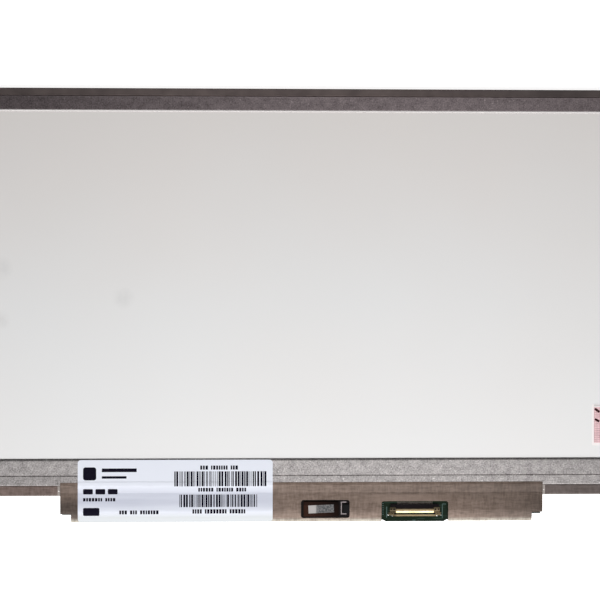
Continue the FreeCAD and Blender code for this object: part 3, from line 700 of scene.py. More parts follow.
@dataclass(frozen=True)
class WovenFilm(Finish):
    """Metallised cloth film with uneven brown tone, painted shade at its ends and across its folds, and a
    painted highlight along its low edge.
    """

    dark: Colour
    light: Colour
    pitch: float
    metallic: float
    roughness: float
    # Painted shade along the film: tone stops along X for its lower and upper part, and the heights over
    # which one gives way to the other.
    lower: tuple[Span, ...]
    upper: tuple[Span, ...]
    between: Span
    # Painted shade across the folds, as tone stops along Y.
    fold_shade: Toning
    # Painted highlight along the low edge, where the film bends towards the light: its colour and its share
    # by distance, broken up by the flecks.
    hem_highlight: Colour
    hem_highlight_stops: tuple[Span, ...]
    crown: Patch | None = None
    blotch: Pattern = Pattern(12.0, 3.0, (0.0, 0.3))
    across: Pattern = Pattern((3.6, 0.8, 2.0), 2.0, (0.0, 0.35), FLECK_SPAN)
    upright: Pattern = Pattern((0.8, 3.6, 2.0), 2.0, (0.0, 0.35), FLECK_SPAN)
    weave_middle: float = 0.5
    weave_span: Span = (0.3, 0.7)
    weave_depth: float = 0.025
    hem_highlight_base: float = 0.65
    roughness_swing: float = 0.05

    def paint(self, graph: ShaderGraph) -> None:
        """Paint blotches and crossed threads over a plain weave, with painted shade for the ends and each
        fold and a painted highlight at the low edge.

        Args:
            graph: the tree to fill.
        """
        fleck = graph.calc("ADD", self.across.share(graph), self.upright.share(graph))
        cloth = graph.mix(graph.calc("ADD", self.blotch.share(graph), fleck), self.dark, self.light)
        toned = graph.tint(graph.tint(cloth, self.painted_long_shade(graph)), self.fold_shade.tone(graph))
        if self.crown is not None:
            toned = graph.mix(self.crown.mask(graph), toned, self.light)
        # Painted highlight at the low edge.
        hem_highlight = replace(self.fold_shade, stops=self.hem_highlight_stops).tone(graph)
        hem_highlight_share = graph.calc("MULTIPLY", hem_highlight, graph.calc("ADD", fleck, self.hem_highlight_base))
        weave = self.weave(graph)
        dull = (self.roughness + self.roughness_swing, self.roughness - self.roughness_swing)
        graph.shade(
            {
                "Base Color": graph.mix(hem_highlight_share, toned, self.hem_highlight),
                "Metallic": self.metallic,
                "Roughness": graph.spread(weave, self.weave_span, dull),
            }
        )
        graph.relief(graph.calc("ADD", weave, fleck), self.weave_depth)

    def weave(self, graph: ShaderGraph) -> Socket:
        """Give the pattern of the crossed threads.

        Args:
            graph: the tree to add to.

        Returns:
            A value on both sides of the middle one.
        """
        warp = graph.calc("SUBTRACT", graph.bands(Axis.X, self.pitch), self.weave_middle)
        weft = graph.calc("SUBTRACT", graph.bands(Axis.Y, self.pitch), self.weave_middle)
        return graph.calc("ADD", graph.calc("MULTIPLY", warp, weft), self.weave_middle)

    def painted_long_shade(self, graph: ShaderGraph) -> Socket:
        """Give the painted shade along the film, for its lower and its upper part.

        Args:
            graph: the tree to add to.

        Returns:
            The tone as a grey colour.
        """
        corner = box_mm(self.fold_shade.node)[0]
        above = graph.climb(Axis.Y, tuple(corner.y + height for height in self.between))
        ends = (graph.tones(Axis.X, corner.x, stops) for stops in (self.lower, self.upper))
        return graph.mix(above, *ends)


@dataclass(frozen=True)
class LabelPaper(Finish):
    """Coated label paper with painted shade: a band across its flat middle, a darker foot where it bends
    down, and a shadow line along its low edge.
    """

    paper: Colour
    shade: Colour
    foot: Colour
    node: str
    band: Span
    roughness: float
    streak: Pattern = Pattern((40.0, 3.0, 3.0), 2.0, (0.55, 1.0))
    rim: tuple[Span, ...] = ((0.0, 0.82), (0.3, 0.9), (0.6, 1.0))
    fibre: Pattern = Pattern(0.35, 3.0)
    fibre_depth: float = 0.004
    roughness_swing: float = 0.05
    gloss: float = 0.3
    coat: float = 0.1
    coat_roughness: float = 0.25

    def paint(self, graph: ShaderGraph) -> None:
        """Paint the shade band, the darker foot and the low-edge shadow line as painted shade, with fibre
        grain and the coat.

        Args:
            graph: the tree to fill.
        """
        start = box_mm(self.node)[0].y
        low, high = (start + edge for edge in self.band)
        # Painted shade: a band across the flat middle, broken up by streaks.
        hill = graph.calc("SINE", graph.calc("MULTIPLY", graph.climb(Axis.Y, (low, high)), math.pi))
        share = graph.calc("MULTIPLY", hill, self.streak.share(graph))
        # Painted shade: a darker foot where the label bends down towards the light, and a shadow line along
        # its low edge.
        flat = graph.climb(Axis.Y, ((start + low) / 2, low))
        sheet = graph.tint(graph.mix(flat, self.foot, self.paper), graph.tones(Axis.Y, start, self.rim))
        fibre = self.fibre.value(graph)
        dull = (self.roughness - self.roughness_swing, self.roughness + self.roughness_swing)
        graph.shade(
            {
                "Base Color": graph.mix(share, sheet, self.shade),
                "Roughness": graph.spread(fibre, NOISE_SPAN, dull),
                "Specular IOR Level": self.gloss,
                "Coat Weight": self.coat,
                "Coat Roughness": self.coat_roughness,
            }
        )
        graph.relief(fibre, self.fibre_depth)


@dataclass(frozen=True)
class Ink(Finish):
    """Printed ink that is a little uneven in density."""

    full: Colour
    thin: Colour
    roughness: float
    density: Pattern = Pattern(0.9, 4.0)
    depth: float = 0.003
    roughness_swing: float = 0.1
    gloss: float = 0.04

    def paint(self, graph: ShaderGraph) -> None:
        """Paint the ink's uneven density.

        Args:
            graph: the tree to fill.
        """
        density = self.density.value(graph)
        dull = (self.roughness, self.roughness + self.roughness_swing)
        graph.shade(
            {
                "Base Color": graph.mix(graph.spread(density, NOISE_SPAN, WHOLE), self.full, self.thin),
                "Roughness": graph.spread(density, NOISE_SPAN, dull),
                "Specular IOR Level": self.gloss,
            }
        )
        graph.relief(density, self.depth)


@dataclass(frozen=True)
class SealPrint(Finish):
    """Sticker with a field of fine crossed lines under a plain border at its upper edge."""

    paper: Colour
    ground: Colour
    line: Colour
    pitch: float
    node: str
    border: float
    fade: float = 0.1
    line_span: Span = (0.6, 1.0)
    strength: Pattern = Pattern(1.6, 3.0, (0.45, 1.0))
    grain: Pattern = Pattern(0.5, 3.0)
    depth: float = 0.004
    roughness: float = 0.45

    def paint(self, graph: ShaderGraph) -> None:
        """Paint the border and the crossed lines.

        Args:
            graph: the tree to fill.
        """
        edge = box_mm(self.node)[1].y - self.border
        crossed = graph.calc("MAXIMUM", *(graph.bands(axis, self.pitch) for axis in (Axis.X, Axis.Y)))
        lines = graph.spread(crossed, self.line_span, WHOLE)
        inked = graph.mix(graph.calc("MULTIPLY", lines, self.strength.share(graph)), self.ground, self.line)
        plain = graph.climb(Axis.Y, (edge - self.fade, edge))
        graph.shade({"Base Color": graph.mix(plain, inked, self.paper), "Roughness": self.roughness})
        graph.relief(self.grain.value(graph), self.depth)


@dataclass(frozen=True)
class SolderMask(Finish):
    """Glossy board mask over faint copper tracks."""

    mask: Colour
    track: Colour
    pitch: float
    track_span: Span = (0.75, 0.9)
    breaks: Pattern = Pattern((5.0, 0.8, 2.0), 2.0, span=(0.5, 0.55))
    patches: Pattern = Pattern(4.0, 3.0, (0.1, 0.18))
    depth: float = 0.006
    gloss: float = 0.3

    def paint(self, graph: ShaderGraph) -> None:
        """Paint the tracks that show through the mask, and its gloss.

        Args:
            graph: the tree to fill.
        """
        runs = graph.spread(graph.bands(Axis.Y, self.pitch), self.track_span, WHOLE)
        height = graph.calc("MULTIPLY", runs, self.breaks.share(graph))
        graph.shade(
            {
                "Base Color": graph.mix(height, self.mask, self.track),
                "Roughness": self.patches.share(graph),
                "Specular IOR Level": self.gloss,
            }
        )
        graph.relief(height, self.depth)


@dataclass(frozen=True)
class CodeFoil(Finish):
    """Silver foil, plain at one end and broken up by dark flecks on the rest."""

    foil: Colour
    fleck: Colour
    node: str
    plain_end: float
    cell: float
    detail: float = 3.0
    fleck_shares: Span = (0.66, 1.0)
    metallic: float = 0.35
    dull: Span = (0.35, 0.5)
    depth: float = 0.006

    def paint(self, graph: ShaderGraph) -> None:
        """Paint the bright foil and the mottled part.

        Args:
            graph: the tree to fill.
        """
        start = box_mm(self.node)[0].x + self.plain_end
        mottle = Pattern(self.cell, self.detail, self.fleck_shares, FLECK_SPAN).share(graph)
        flecked = graph.calc("MULTIPLY", mottle, graph.climb(Axis.X, (start, start + self.cell)))
        graph.shade(
            {
                "Base Color": graph.mix(flecked, self.foil, self.fleck),
                "Metallic": self.metallic,
                "Roughness": graph.spread(mottle, WHOLE, self.dull),
            }
        )
        graph.relief(mottle, self.depth)


@dataclass(frozen=True)
class PlatedMetal(Finish):
    """Plated or tinned metal with slight staining, all polished or matt in places."""

    bright: Colour
    stained: Colour
    roughness: float
    wear: float = 0.004
    polished: Toning | None = None
    stain: Pattern = Pattern((3.0, 0.7, 0.7), 4.0)
    polish: Pattern = Pattern(0.8, 2.0)
    roughness_swing: float = 0.03

    def paint(self, graph: ShaderGraph) -> None:
        """Paint the stains and the uneven polish.

        Args:
            graph: the tree to fill.
        """
        stain = self.stain.value(graph)
        dull = (self.roughness, self.roughness + self.roughness_swing)
        graph.shade(
            {
                "Base Color": graph.mix(graph.spread(stain, NOISE_SPAN, WHOLE), self.bright, self.stained),
                "Metallic": 1.0 if self.polished is None else self.polished.tone(graph),
                "Roughness": graph.spread(stain, NOISE_SPAN, dull),
            }
        )
        graph.relief(self.polish.value(graph), self.wear)


@dataclass(frozen=True)
class FlexFilm(Finish):
    """Amber film with copper tracks inside."""

    film: Colour
    copper: Colour
    axis: Axis
    pitch: float
    track_span: Span = (0.45, 0.55)
    cloud: Pattern = Pattern(3.0, 3.0, (0.25, 0.4))
    coat: float = 0.4
    depth: float = 0.008

    def paint(self, graph: ShaderGraph) -> None:
        """Paint the tracks and the film's gloss.

        Args:
            graph: the tree to fill.
        """
        tracks = graph.spread(graph.bands(self.axis, self.pitch), self.track_span, WHOLE)
        graph.shade(
            {
                "Base Color": graph.mix(tracks, self.film, self.copper),
                "Roughness": self.cloud.share(graph),
                "Coat Weight": self.coat,
            }
        )
        graph.relief(tracks, self.depth)


# Painted shade: the plastic has a darker tone than its own pale colour, standing in for the shade in the
# narrow gaps beside the board cover, and its first 4.2 mm from the low edge are darker still.
FRAME_PLASTIC = Moulded(
    "pale_frame_plastic",
    dark=(0.48, 0.42, 0.385),
    light=(0.54, 0.48, 0.445),
    grain=0.3,
    depth=0.006,
    roughness=0.5,
    tonings=(Toning("mould_frame", Axis.Y, ((0.0, 0.7), (4.2, 0.7), (5.5, 1.0), (168.0, 1.0))),),
)
PIP_PLASTIC = Moulded(
    "white_pip_plastic",
    dark=(0.80, 0.74, 0.71),
    light=(0.88, 0.84, 0.81),
    grain=0.2,
    depth=0.003,
    roughness=0.35,
    mottle=0.6,
)
# Painted shade: the tone stops along X darken the band towards both ends. Painted light: the bend near the
# outer edge is pale and non-metallic.
BACK_METAL = PressedMetal(
    "grained_back_metal",
    dark=(0.19, 0.177, 0.175),
    light=(0.70, 0.66, 0.652),
    grain=0.6,
    depth=0.03,
    roughness=0.48,
    lower=(
        (0.0, 0.74),
        (33.0, 0.81),
        (82.0, 0.9),
        (144.0, 0.98),
        (206.0, 1.0),
        (255.0, 0.83),
        (290.0, 0.72),
    ),
    painted_light_bend=(86.1, 86.25),
)
# Painted shade: the tone stops along X darken the carrier towards both ends.
CARRIER_METAL = PressedMetal(
    "grained_carrier_metal",
    dark=(0.185, 0.172, 0.170),
    light=(0.625, 0.588, 0.58),
    grain=0.6,
    depth=0.03,
    roughness=0.48,
    lower=(
        (0.0, 0.7),
        (33.0, 0.765),
        (82.0, 0.88),
        (144.0, 0.99),
        (206.0, 1.05),
        (255.0, 0.93),
        (290.0, 0.83),
    ),
)
# Painted shade: its tone stops along X darken the film towards both ends.
REFLECTOR = ReflectorFilm(
    "white_reflector_film",
    cool=(0.832, 0.832, 0.832),
    warm=(0.835, 0.795, 0.770),
    dimple_shade=(0.69, 0.685, 0.682),
    dimple_shades=(
        DimpleShade(x=-124.5, y=15.2, radius=5.5),
        DimpleShade(x=-74.0, y=3.0, radius=5.0),
        DimpleShade(x=-124.8, y=-6.2, radius=4.5),
    ),
    roughness=0.5,
    tonings=(
        Toning(
            "reflector_sheet",
            Axis.X,
            ((0.0, 0.955), (32.0, 0.97), (98.0, 1.008), (181.0, 1.012), (222.0, 1.0), (282.0, 0.965)),
        ),
    ),
)
# The tone stops along X paint shade at the film's ends, the fold stops paint shade across its folds, and the
# hem paints a highlight along its low edge.
COVER_CLOTH = WovenFilm(
    "brown_cover_cloth",
    dark=(0.104, 0.071, 0.054),
    light=(0.232, 0.170, 0.138),
    pitch=0.35,
    metallic=0.5,
    roughness=0.42,
    lower=((0.0, 0.35), (6.0, 0.42), (38.0, 1.0), (162.0, 0.99), (182.0, 0.76), (200.2, 0.47)),
    upper=(
        (0.0, 0.80),
        (6.0, 0.80),
        (38.0, 0.97),
        (100.0, 1.0),
        (114.0, 1.0),
        (126.0, 0.88),
        (136.0, 0.82),
        (145.0, 0.82),
        (161.0, 0.85),
        (169.5, 0.74),
        (178.0, 0.67),
        (186.0, 0.68),
        (200.2, 0.58),
    ),
    between=(7.5, 11.0),
    fold_shade=Toning(
        "board_cover",
        Axis.Y,
        (
            (0.0, 1.0),
            (1.8, 1.0),
            (2.6, 0.89),
            (3.1, 0.85),
            (3.9, 0.87),
            (4.7, 1.0),
            (11.3, 1.0),
            (12.5, 0.80),
            (14.8, 0.79),
            (15.4, 1.0),
        ),
    ),
    hem_highlight=(0.51, 0.47, 0.405),
    hem_highlight_stops=((0.0, 0.95), (0.5, 0.72), (1.0, 0.40), (1.4, 0.15), (2.0, 0.0)),
    crown=Patch(xs=(17.0, 68.0), ys=(-82.2, -78.2), edges=(20.0, 0.6), strength=0.6),
)
# The strips' tone stops along X paint shade towards their ends, their fold stops paint the carrier edge's
# shadow along their upper edge, and their hem paints a highlight along the low edge.
STRIP_TONES = ((0.0, 0.92), (42.0, 1.0), (244.0, 1.0), (286.0, 0.92))
STRIP_CLOTH = WovenFilm(
    "brown_strip_cloth",
    dark=(0.086, 0.058, 0.049),
    light=(0.206, 0.148, 0.130),
    pitch=0.35,
    metallic=0.4,
    roughness=0.48,
    lower=STRIP_TONES,
    upper=STRIP_TONES,
    between=WHOLE,
    fold_shade=Toning("lower_edge_tape_left", Axis.Y, ((0.0, 1.0), (3.6, 1.0), (4.0, 0.85))),
    hem_highlight=(0.40, 0.35, 0.31),
    hem_highlight_stops=((0.0, 0.3), (0.8, 0.0)),
)
STRIP_CLOTH_RIGHT = replace(
    STRIP_CLOTH, name="dusky_strip_cloth", dark=(0.078, 0.059, 0.054), light=(0.142, 0.113, 0.105)
)
# Painted light: the Y stops make the tape up to seven times paler beside the back frame's step, cancelling
# the shadow that the step casts on it; the X stops paint light and shade along its length.
EDGE_TAPE = Moulded(
    "dark_edge_tape",
    dark=(0.060, 0.046, 0.044),
    light=(0.090, 0.070, 0.066),
    grain=0.6,
    depth=0.006,
    roughness=0.5,
    tonings=(
        Toning("upper_edge_tape", Axis.Y, ((0.0, 7.0), (0.14, 4.8), (0.36, 2.4), (0.8, 1.05), (3.0, 1.0))),
        Toning(
            "upper_edge_tape",
            Axis.X,
            (
                (0.0, 1.0),
                (31.0, 1.07),
                (80.0, 1.37),
                (142.0, 1.5),
                (204.0, 1.37),
                (253.0, 0.93),
                (286.0, 0.9),
            ),
        ),
    ),
)
BLACK_TAPE = Moulded(
    "black_rim_tape",
    dark=(0.012, 0.012, 0.012),
    light=(0.025, 0.025, 0.025),
    grain=0.4,
    depth=0.01,
    roughness=0.6,
)
# Its shade and foot colours are painted shade.
LABEL_PAPER = LabelPaper(
    "coated_label_paper",
    paper=(0.765, 0.79, 0.87),
    shade=(0.50, 0.52, 0.615),
    foot=(0.565, 0.585, 0.605),
    node="panel_label",
    band=(4.2, 15.2),
    roughness=0.45,
)
LABEL_INK = Ink(
    "dark_label_ink",
    full=(0.003, 0.002, 0.008),
    thin=(0.007, 0.006, 0.014),
    roughness=0.55,
)
STROKE_INK = Ink(
    "dark_stroke_ink",
    full=(0.02, 0.004, 0.006),
    thin=(0.05, 0.012, 0.015),
    roughness=0.4,
)
BOARD_SILK = Ink(
    "pale_board_marking",
    full=(0.42, 0.37, 0.37),
    thin=(0.30, 0.26, 0.26),
    roughness=0.6,
)
OUTLINE_SILK = Ink(
    "teal_board_marking",
    full=(0.10, 0.15, 0.14),
    thin=(0.05, 0.09, 0.08),
    roughness=0.6,
)
SEAL_PRINT = SealPrint(
    "pink_seal_print",
    paper=(0.84, 0.80, 0.79),
    ground=(0.90, 0.61, 0.63),
    line=(0.30, 0.17, 0.19),
    pitch=0.75,
    node="seal_sticker",
    border=1.2,
    # Painted shadow: a grey line just under the sticker's upper edge.
    tonings=(
        Toning("seal_sticker", Axis.Y, ((0.0, 1.0), (15.1, 1.0), (15.4, 0.74), (15.7, 0.74), (16.0, 1.0))),
    ),
)
SEAL_BACKING = Moulded(
    "white_seal_backing",
    dark=(0.90, 0.84, 0.83),
    light=(0.93, 0.88, 0.87),
    grain=0.4,
    depth=0.003,
    roughness=0.5,
    mottle=3.0,
)
BOARD_MASK = SolderMask(
    "dark_green_mask",
    mask=(0.009, 0.018, 0.010),
    track=(0.014, 0.034, 0.020),
    pitch=1.1,
)
CODE_FOIL = CodeFoil(
    "silver_code_foil",
    foil=(0.42, 0.395, 0.385),
    fleck=(0.05, 0.055, 0.06),
    node="code_label",
    plain_end=3.0,
    cell=0.6,
)
CHIP_RESIN = Moulded(
    "dark_chip_resin",
    dark=(0.020, 0.008, 0.005),
    light=(0.030, 0.013, 0.009),
    grain=0.25,
    depth=0.01,
    roughness=0.6,
    gloss=0.05,
)
# Painted shade: the resin is darker along its upper edge. It is also toned paler at its left end and darker
# towards its right.
TIMING_RESIN = replace(
    CHIP_RESIN,
    name="brown_chip_resin",
    tonings=(
        Toning("timing_chip", Axis.X, ((0.0, 1.5), (2.5, 1.4), (9.0, 0.8), (12.5, 0.4), (14.6, 0.4))),
        Toning("timing_chip", Axis.Y, ((0.0, 1.0), (4.4, 1.0), (5.0, 0.5), (6.2, 0.5))),
    ),
)
DIODE_RESIN = Moulded(
    "black_diode_resin",
    dark=(0.008, 0.008, 0.008),
    light=(0.013, 0.012, 0.013),
    grain=0.25,
    depth=0.01,
    roughness=0.6,
    gloss=0.05,
)
SURROUND_FILM = Moulded(
    "black_surround_film",
    dark=(0.006, 0.004, 0.004),
    light=(0.011, 0.007, 0.007),
    grain=0.3,
    depth=0.004,
    roughness=0.4,
    gloss=0.1,
)
FERRITE = Moulded(
    "sintered_ferrite",
    dark=(0.03, 0.03, 0.03),
    light=(0.06, 0.06, 0.062),
    grain=0.3,
    depth=0.02,
    roughness=0.6,
)
CERAMIC = Moulded(
    "fired_ceramic",
    dark=(0.26, 0.18, 0.11),
    light=(0.36, 0.26, 0.17),
    grain=0.2,
    depth=0.008,
    roughness=0.45,
    mottle=1.5,
)
SOCKET_PLASTIC = Moulded(
    "black_socket_plastic",
    dark=(0.006, 0.004, 0.005),
    light=(0.010, 0.007, 0.008),
    grain=0.3,
    depth=0.01,
    roughness=0.5,
    gloss=0.05,
)
LAMP_BODY = Moulded(
    "white_lamp_body",
    dark=(0.80, 0.74, 0.42),
    light=(0.88, 0.85, 0.66),
    grain=0.3,
    depth=0.005,
    roughness=0.4,
    mottle=0.6,
)
# Painted shade: the shell's colour is toned darker towards its roof and at both ears, the left ear most,
# standing in for the dark reflections there; its metallic share is lowered on the front and roof.
GILT = PlatedMetal(
    "gilt_socket_metal",
    bright=(0.82, 0.65, 0.39),
    stained=(0.60, 0.43, 0.23),
    roughness=0.16,
    wear=0.001,
    polished=Toning(
        "connector_shell",
        Axis.Y,
        ((0.0, 0.3), (0.75, 0.3), (0.95, 1.0), (2.1, 1.0), (2.3, 0.25), (3.85, 0.25)),
    ),
    tonings=(
        Toning(
            "connector_shell",
            Axis.Y,
            (
                (0.0, 0.6),
                (0.75, 0.6),
                (0.95, 0.88),
                (2.05, 0.88),
                (2.25, 0.62),
                (2.9, 0.4),
                (3.4, 0.2),
                (3.85, 0.12),
            ),
        ),
        Toning(
            "connector_shell",
            Axis.X,
            ((0.0, 0.45), (2.7, 0.45), (3.6, 1.0), (18.4, 1.0), (19.3, 0.7), (21.8, 0.7)),
        ),
    ),
)
# Painted shade: the contacts get a dark bronze in place of their gold, standing in for the deep shade under
# the socket's roof.
CONTACT_PLATE = PlatedMetal(
    "dull_contact_metal",
    bright=(0.20, 0.17, 0.15),
    stained=(0.12, 0.10, 0.09),
    roughness=0.45,
)
SOLDER = PlatedMetal(
    "tinned_solder",
    bright=(0.82, 0.82, 0.80),
    stained=(0.60, 0.60, 0.58),
    roughness=0.22,
)
LAMP_FLEX = FlexFilm(
    "amber_lamp_film",
    film=(0.24, 0.12, 0.03),
    copper=(0.42, 0.20, 0.07),
    axis=Axis.Y,
    pitch=1.6,
)
DRIVER_FLEX = FlexFilm(
    "amber_driver_film",
    film=(0.24, 0.12, 0.03),
    copper=(0.42, 0.20, 0.07),
    axis=Axis.X,
    pitch=0.4,
)
CELL_GLASS = ClearSheet(
    "display_cell_glass",
    tint=(0.80, 0.86, 0.85),
    haze=0.02,
    transmission=0.9,
)
POLARISER = Moulded(
    "satin_polariser",
    dark=(0.010, 0.010, 0.012),
    light=(0.016, 0.016, 0.019),
    grain=0.2,
    depth=0.004,
    roughness=0.25,
    coat=0.4,
)
DIFFUSER = ClearSheet(
    "frosted_diffuser",
    tint=(0.90, 0.90, 0.90),
    haze=0.6,
    transmission=0.4,
)
PRISM_FILM = ClearSheet(
    "ribbed_prism_film",
    tint=(0.86, 0.88, 0.90),
    haze=0.15,
    transmission=0.7,
    ribs=0.25,
)
GUIDE_ACRYLIC = ClearSheet(
    "clear_guide_acrylic",
    tint=(0.90, 0.93, 0.93),
    haze=0.03,
    transmission=0.9,
)


# Mesh building

UPWARD = 0.3  # least upward share of a face's normal that counts as the upper surface
ROW_PLACES = 6  # decimal places of a metre that tell two rows of vertices apart
CUT_REACH = 1e-7  # how near a plane a vertex counts as on it, in metres
CORNER_SEGMENTS = 4
INK_SINK = -0.004  # lower side of print, from the surface, in millimetres
INK_RISE = 0.008  # its upper side
DOME_RINGS = 10
DOME_SEGMENTS = 20


class Surface:
    """Upper surface of a CAD node, which thin prints are laid on."""

    def __init__(self, node: str) -> None:
        """Read the node's upper faces.

        Args:
            node: name of the CAD node.
        """
        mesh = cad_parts[node].data
        upper = [face for face in mesh.polygons if face.normal.z > UPWARD]
        self.rows = sorted({round(mesh.vertices[i].co.y, ROW_PLACES) for f in upper for i in f.vertices})
        self.tree = BVHTree.FromObject(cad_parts[node], bpy.context.evaluated_depsgraph_get())
        self.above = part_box(node)[1].z + MM

    def height(self, x: float, y: float) -> float:
        """Find how high the surface is.

        Args:
            x: place along the long side, in metres.
            y: place along the short side, in metres.

        Returns:
            The height in metres.
        """
        hit = self.tree.ray_cast(Vector((x, y, self.above)), Vector((0.0, 0.0, -1.0)))[0]
        if hit is None:
            raise ValueError(f"the print at {x:.4f}, {y:.4f} lies beside its label")
        return hit.z


class Blocks:
    """Closed shapes gathered in one mesh, which becomes one piece."""

    def __init__(self) -> None:
        """Start with an empty mesh."""
        self.mesh = bmesh.new()

    def block(self, xs: Span, ys: Span, zs: Span, corner: float = 0.0, turn: float = 0.0) -> None:
        """Add a block.

        Args:
            xs: its two ends along X, in millimetres.
            ys: its two ends along Y, in millimetres.
            zs: its lower and upper side, in millimetres.
            corner: radius of its upright corners, in millimetres.
            turn: turn about its own upright axis, in degrees.
        """
        low = Vector((xs[0], ys[0], zs[0])) * MM
        high = Vector((xs[1], ys[1], zs[1])) * MM
        turned = Matrix.Rotation(math.radians(turn), MATRIX_SIZE, "Z")
        place = Matrix.Translation((low + high) / 2) @ turned @ Matrix.Diagonal((*(high - low), 1.0))
        made = bmesh.ops.create_cube(self.mesh, size=1.0, matrix=place)["verts"]
        if corner > 0:
            edges = {edge for vert in made for edge in vert.link_edges}
            upright = [e for e in edges if abs(e.verts[0].co.z - e.verts[1].co.z) > (high.z - low.z) / 2]
            bmesh.ops.bevel(
                self.mesh,
                geom=upright,
                offset=corner * MM,
                offset_type="OFFSET",
                segments=CORNER_SEGMENTS,
                profile=0.5,
                affect="EDGES",
                material=-1,
            )

    def dome(self, centre: Place, radius: float, rise: float) -> None:
        """Add a low dome with a flat foot.

        Args:
            centre: middle of its foot, in millimetres.
            radius: radius of its foot, in millimetres.
            rise: its height, in millimetres.
        """
        place = Matrix.Translation(Vector(centre) * MM)
        sizes = Matrix.Diagonal((radius * MM, radius * MM, rise * MM, 1.0))
        made = bmesh.ops.create_uvsphere(
            self.mesh, u_segments=DOME_SEGMENTS, v_segments=DOME_RINGS, radius=1.0, matrix=place @ sizes
        )["verts"]
        faces = {face for vert in made for face in vert.link_faces}
        edges = {edge for vert in made for edge in vert.link_edges}
        cut = bmesh.ops.bisect_plane(
            self.mesh,
            geom=[*made, *edges, *faces],
            dist=CUT_REACH,
            plane_co=place.translation,
            plane_no=(0.0, 0.0, 1.0),
            clear_inner=True,
        )
        rim = [part for part in cut["geom_cut"] if isinstance(part, bmesh.types.BMEdge)]
        bmesh.ops.edgeloop_fill(self.mesh, edges=rim)

    def lay_on(self, surface: Surface) -> None:
        """Cut the shapes at the surface's bends and lift them on to it.

        Args:
            surface: the surface, whose height is added to the shapes' own.
        """
        for row in surface.rows:
            everything = [*self.mesh.verts, *self.mesh.edges, *self.mesh.faces]
            bmesh.ops.bisect_plane(
                self.mesh, geom=everything, dist=CUT_REACH, plane_co=(0.0, row, 0.0), plane_no=(0.0, 1.0, 0.0)
            )
        for vert in self.mesh.verts:
            vert.co.z += surface.height(vert.co.x, vert.co.y)

    def piece(self, name: str, finish: Finish) -> bpy.types.Object:
        """Turn the gathered shapes into one piece of the module.

        Args:
            name: name of the piece.
            finish: its finish.

        Returns:
            The piece.
        """
        bmesh.ops.recalc_face_normals(self.mesh, faces=self.mesh.faces)
        data = bpy.data.meshes.new(name)
        self.mesh.to_mesh(data)
        self.mesh.free()
        data.materials.append(finish.material())
        made = bpy.data.objects.new(name, data)
        bpy.context.scene.collection.objects.link(made)
        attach(made, BODY)
        log.info("made %s, %d faces", name, len(data.polygons))
        return made


# Sub-assemblies


@dataclass
class SubAssembly:
    """A group of CAD nodes that are dressed together, and the pieces that are added to them."""

    def finishes(self) -> dict[str, Finish]:
        """Finish of each CAD node of the group, by node name."""
        return {}

    def add_pieces(self) -> None:
        """Make the group's own pieces, where it has any."""

    def build(self) -> None:
        """Dress the CAD nodes and add the group's own pieces."""
        for node, finish in self.finishes().items():
            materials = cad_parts[node].data.materials
            materials.clear()
            materials.append(finish.material())
            log.info("dressed %s with %s", node, finish.name)
        self.add_pieces()


@dataclass
class Housing(SubAssembly):
    """Moulded frame, pressed back frame, lamp carrier and edge tapes."""

    pip_heights: Span = (2.05, 2.15)
    pip_inset: float = 0.55
    pip_radius: float = 0.32
    pip_rise: float = 0.2

    def finishes(self) -> dict[str, Finish]:
        """Finish of each CAD node of the group, by node name."""
        return {
            "mould_frame": FRAME_PLASTIC,
            "back_frame": BACK_METAL,
            "led_carrier": CARRIER_METAL,
            "upper_edge_tape": EDGE_TAPE,
            "lower_edge_tape_left": STRIP_CLOTH,
            "lower_edge_tape_right": STRIP_CLOTH_RIGHT,
        }

    def add_pieces(self) -> None:
        """Add the two small moulded pips beside the board cover."""
        left = box_mm("lower_edge_tape_left")
        right = box_mm("lower_edge_tape_right")
        pips = Blocks()
        for x, height in zip((left[1].x + self.pip_inset, right[0].x - self.pip_inset), self.pip_heights):
            pips.dome((x, left[0].y + height, left[0].z), self.pip_radius, self.pip_rise)
        pips.piece("frame_pips", PIP_PLASTIC)


@dataclass
class Backlight(SubAssembly):
    """Reflector, light guide, optical sheets and lamp strip."""

    def finishes(self) -> dict[str, Finish]:
        """Finish of each CAD node of the group, by node name."""
        return {
            "reflector_sheet": REFLECTOR,
            "light_guide_plate": GUIDE_ACRYLIC,
            "lower_diffuser": DIFFUSER,
            "upper_diffuser": DIFFUSER,
            "lower_prism_sheet": PRISM_FILM,
            "upper_prism_sheet": PRISM_FILM,
            "led_flex": LAMP_FLEX,
            "leds": LAMP_BODY,
        }


@dataclass
class DisplayCell(SubAssembly):
    """Glass, polarisers, rim tape and the driver films with their chips."""

    films: int = 3

    def finishes(self) -> dict[str, Finish]:
        """Finish of each CAD node of the group, by node name."""
        drivers = {f"driver_film_{n}": DRIVER_FLEX for n in range(1, self.films + 1)}
        chips = {f"driver_chip_{n}": CHIP_RESIN for n in range(1, self.films + 1)}
        return {
            "rim_tape": BLACK_TAPE,
            "rear_polariser": POLARISER,
            "front_polariser": POLARISER,
            "array_glass": CELL_GLASS,
            "colour_filter_glass": CELL_GLASS,
            **drivers,
            **chips,
        }


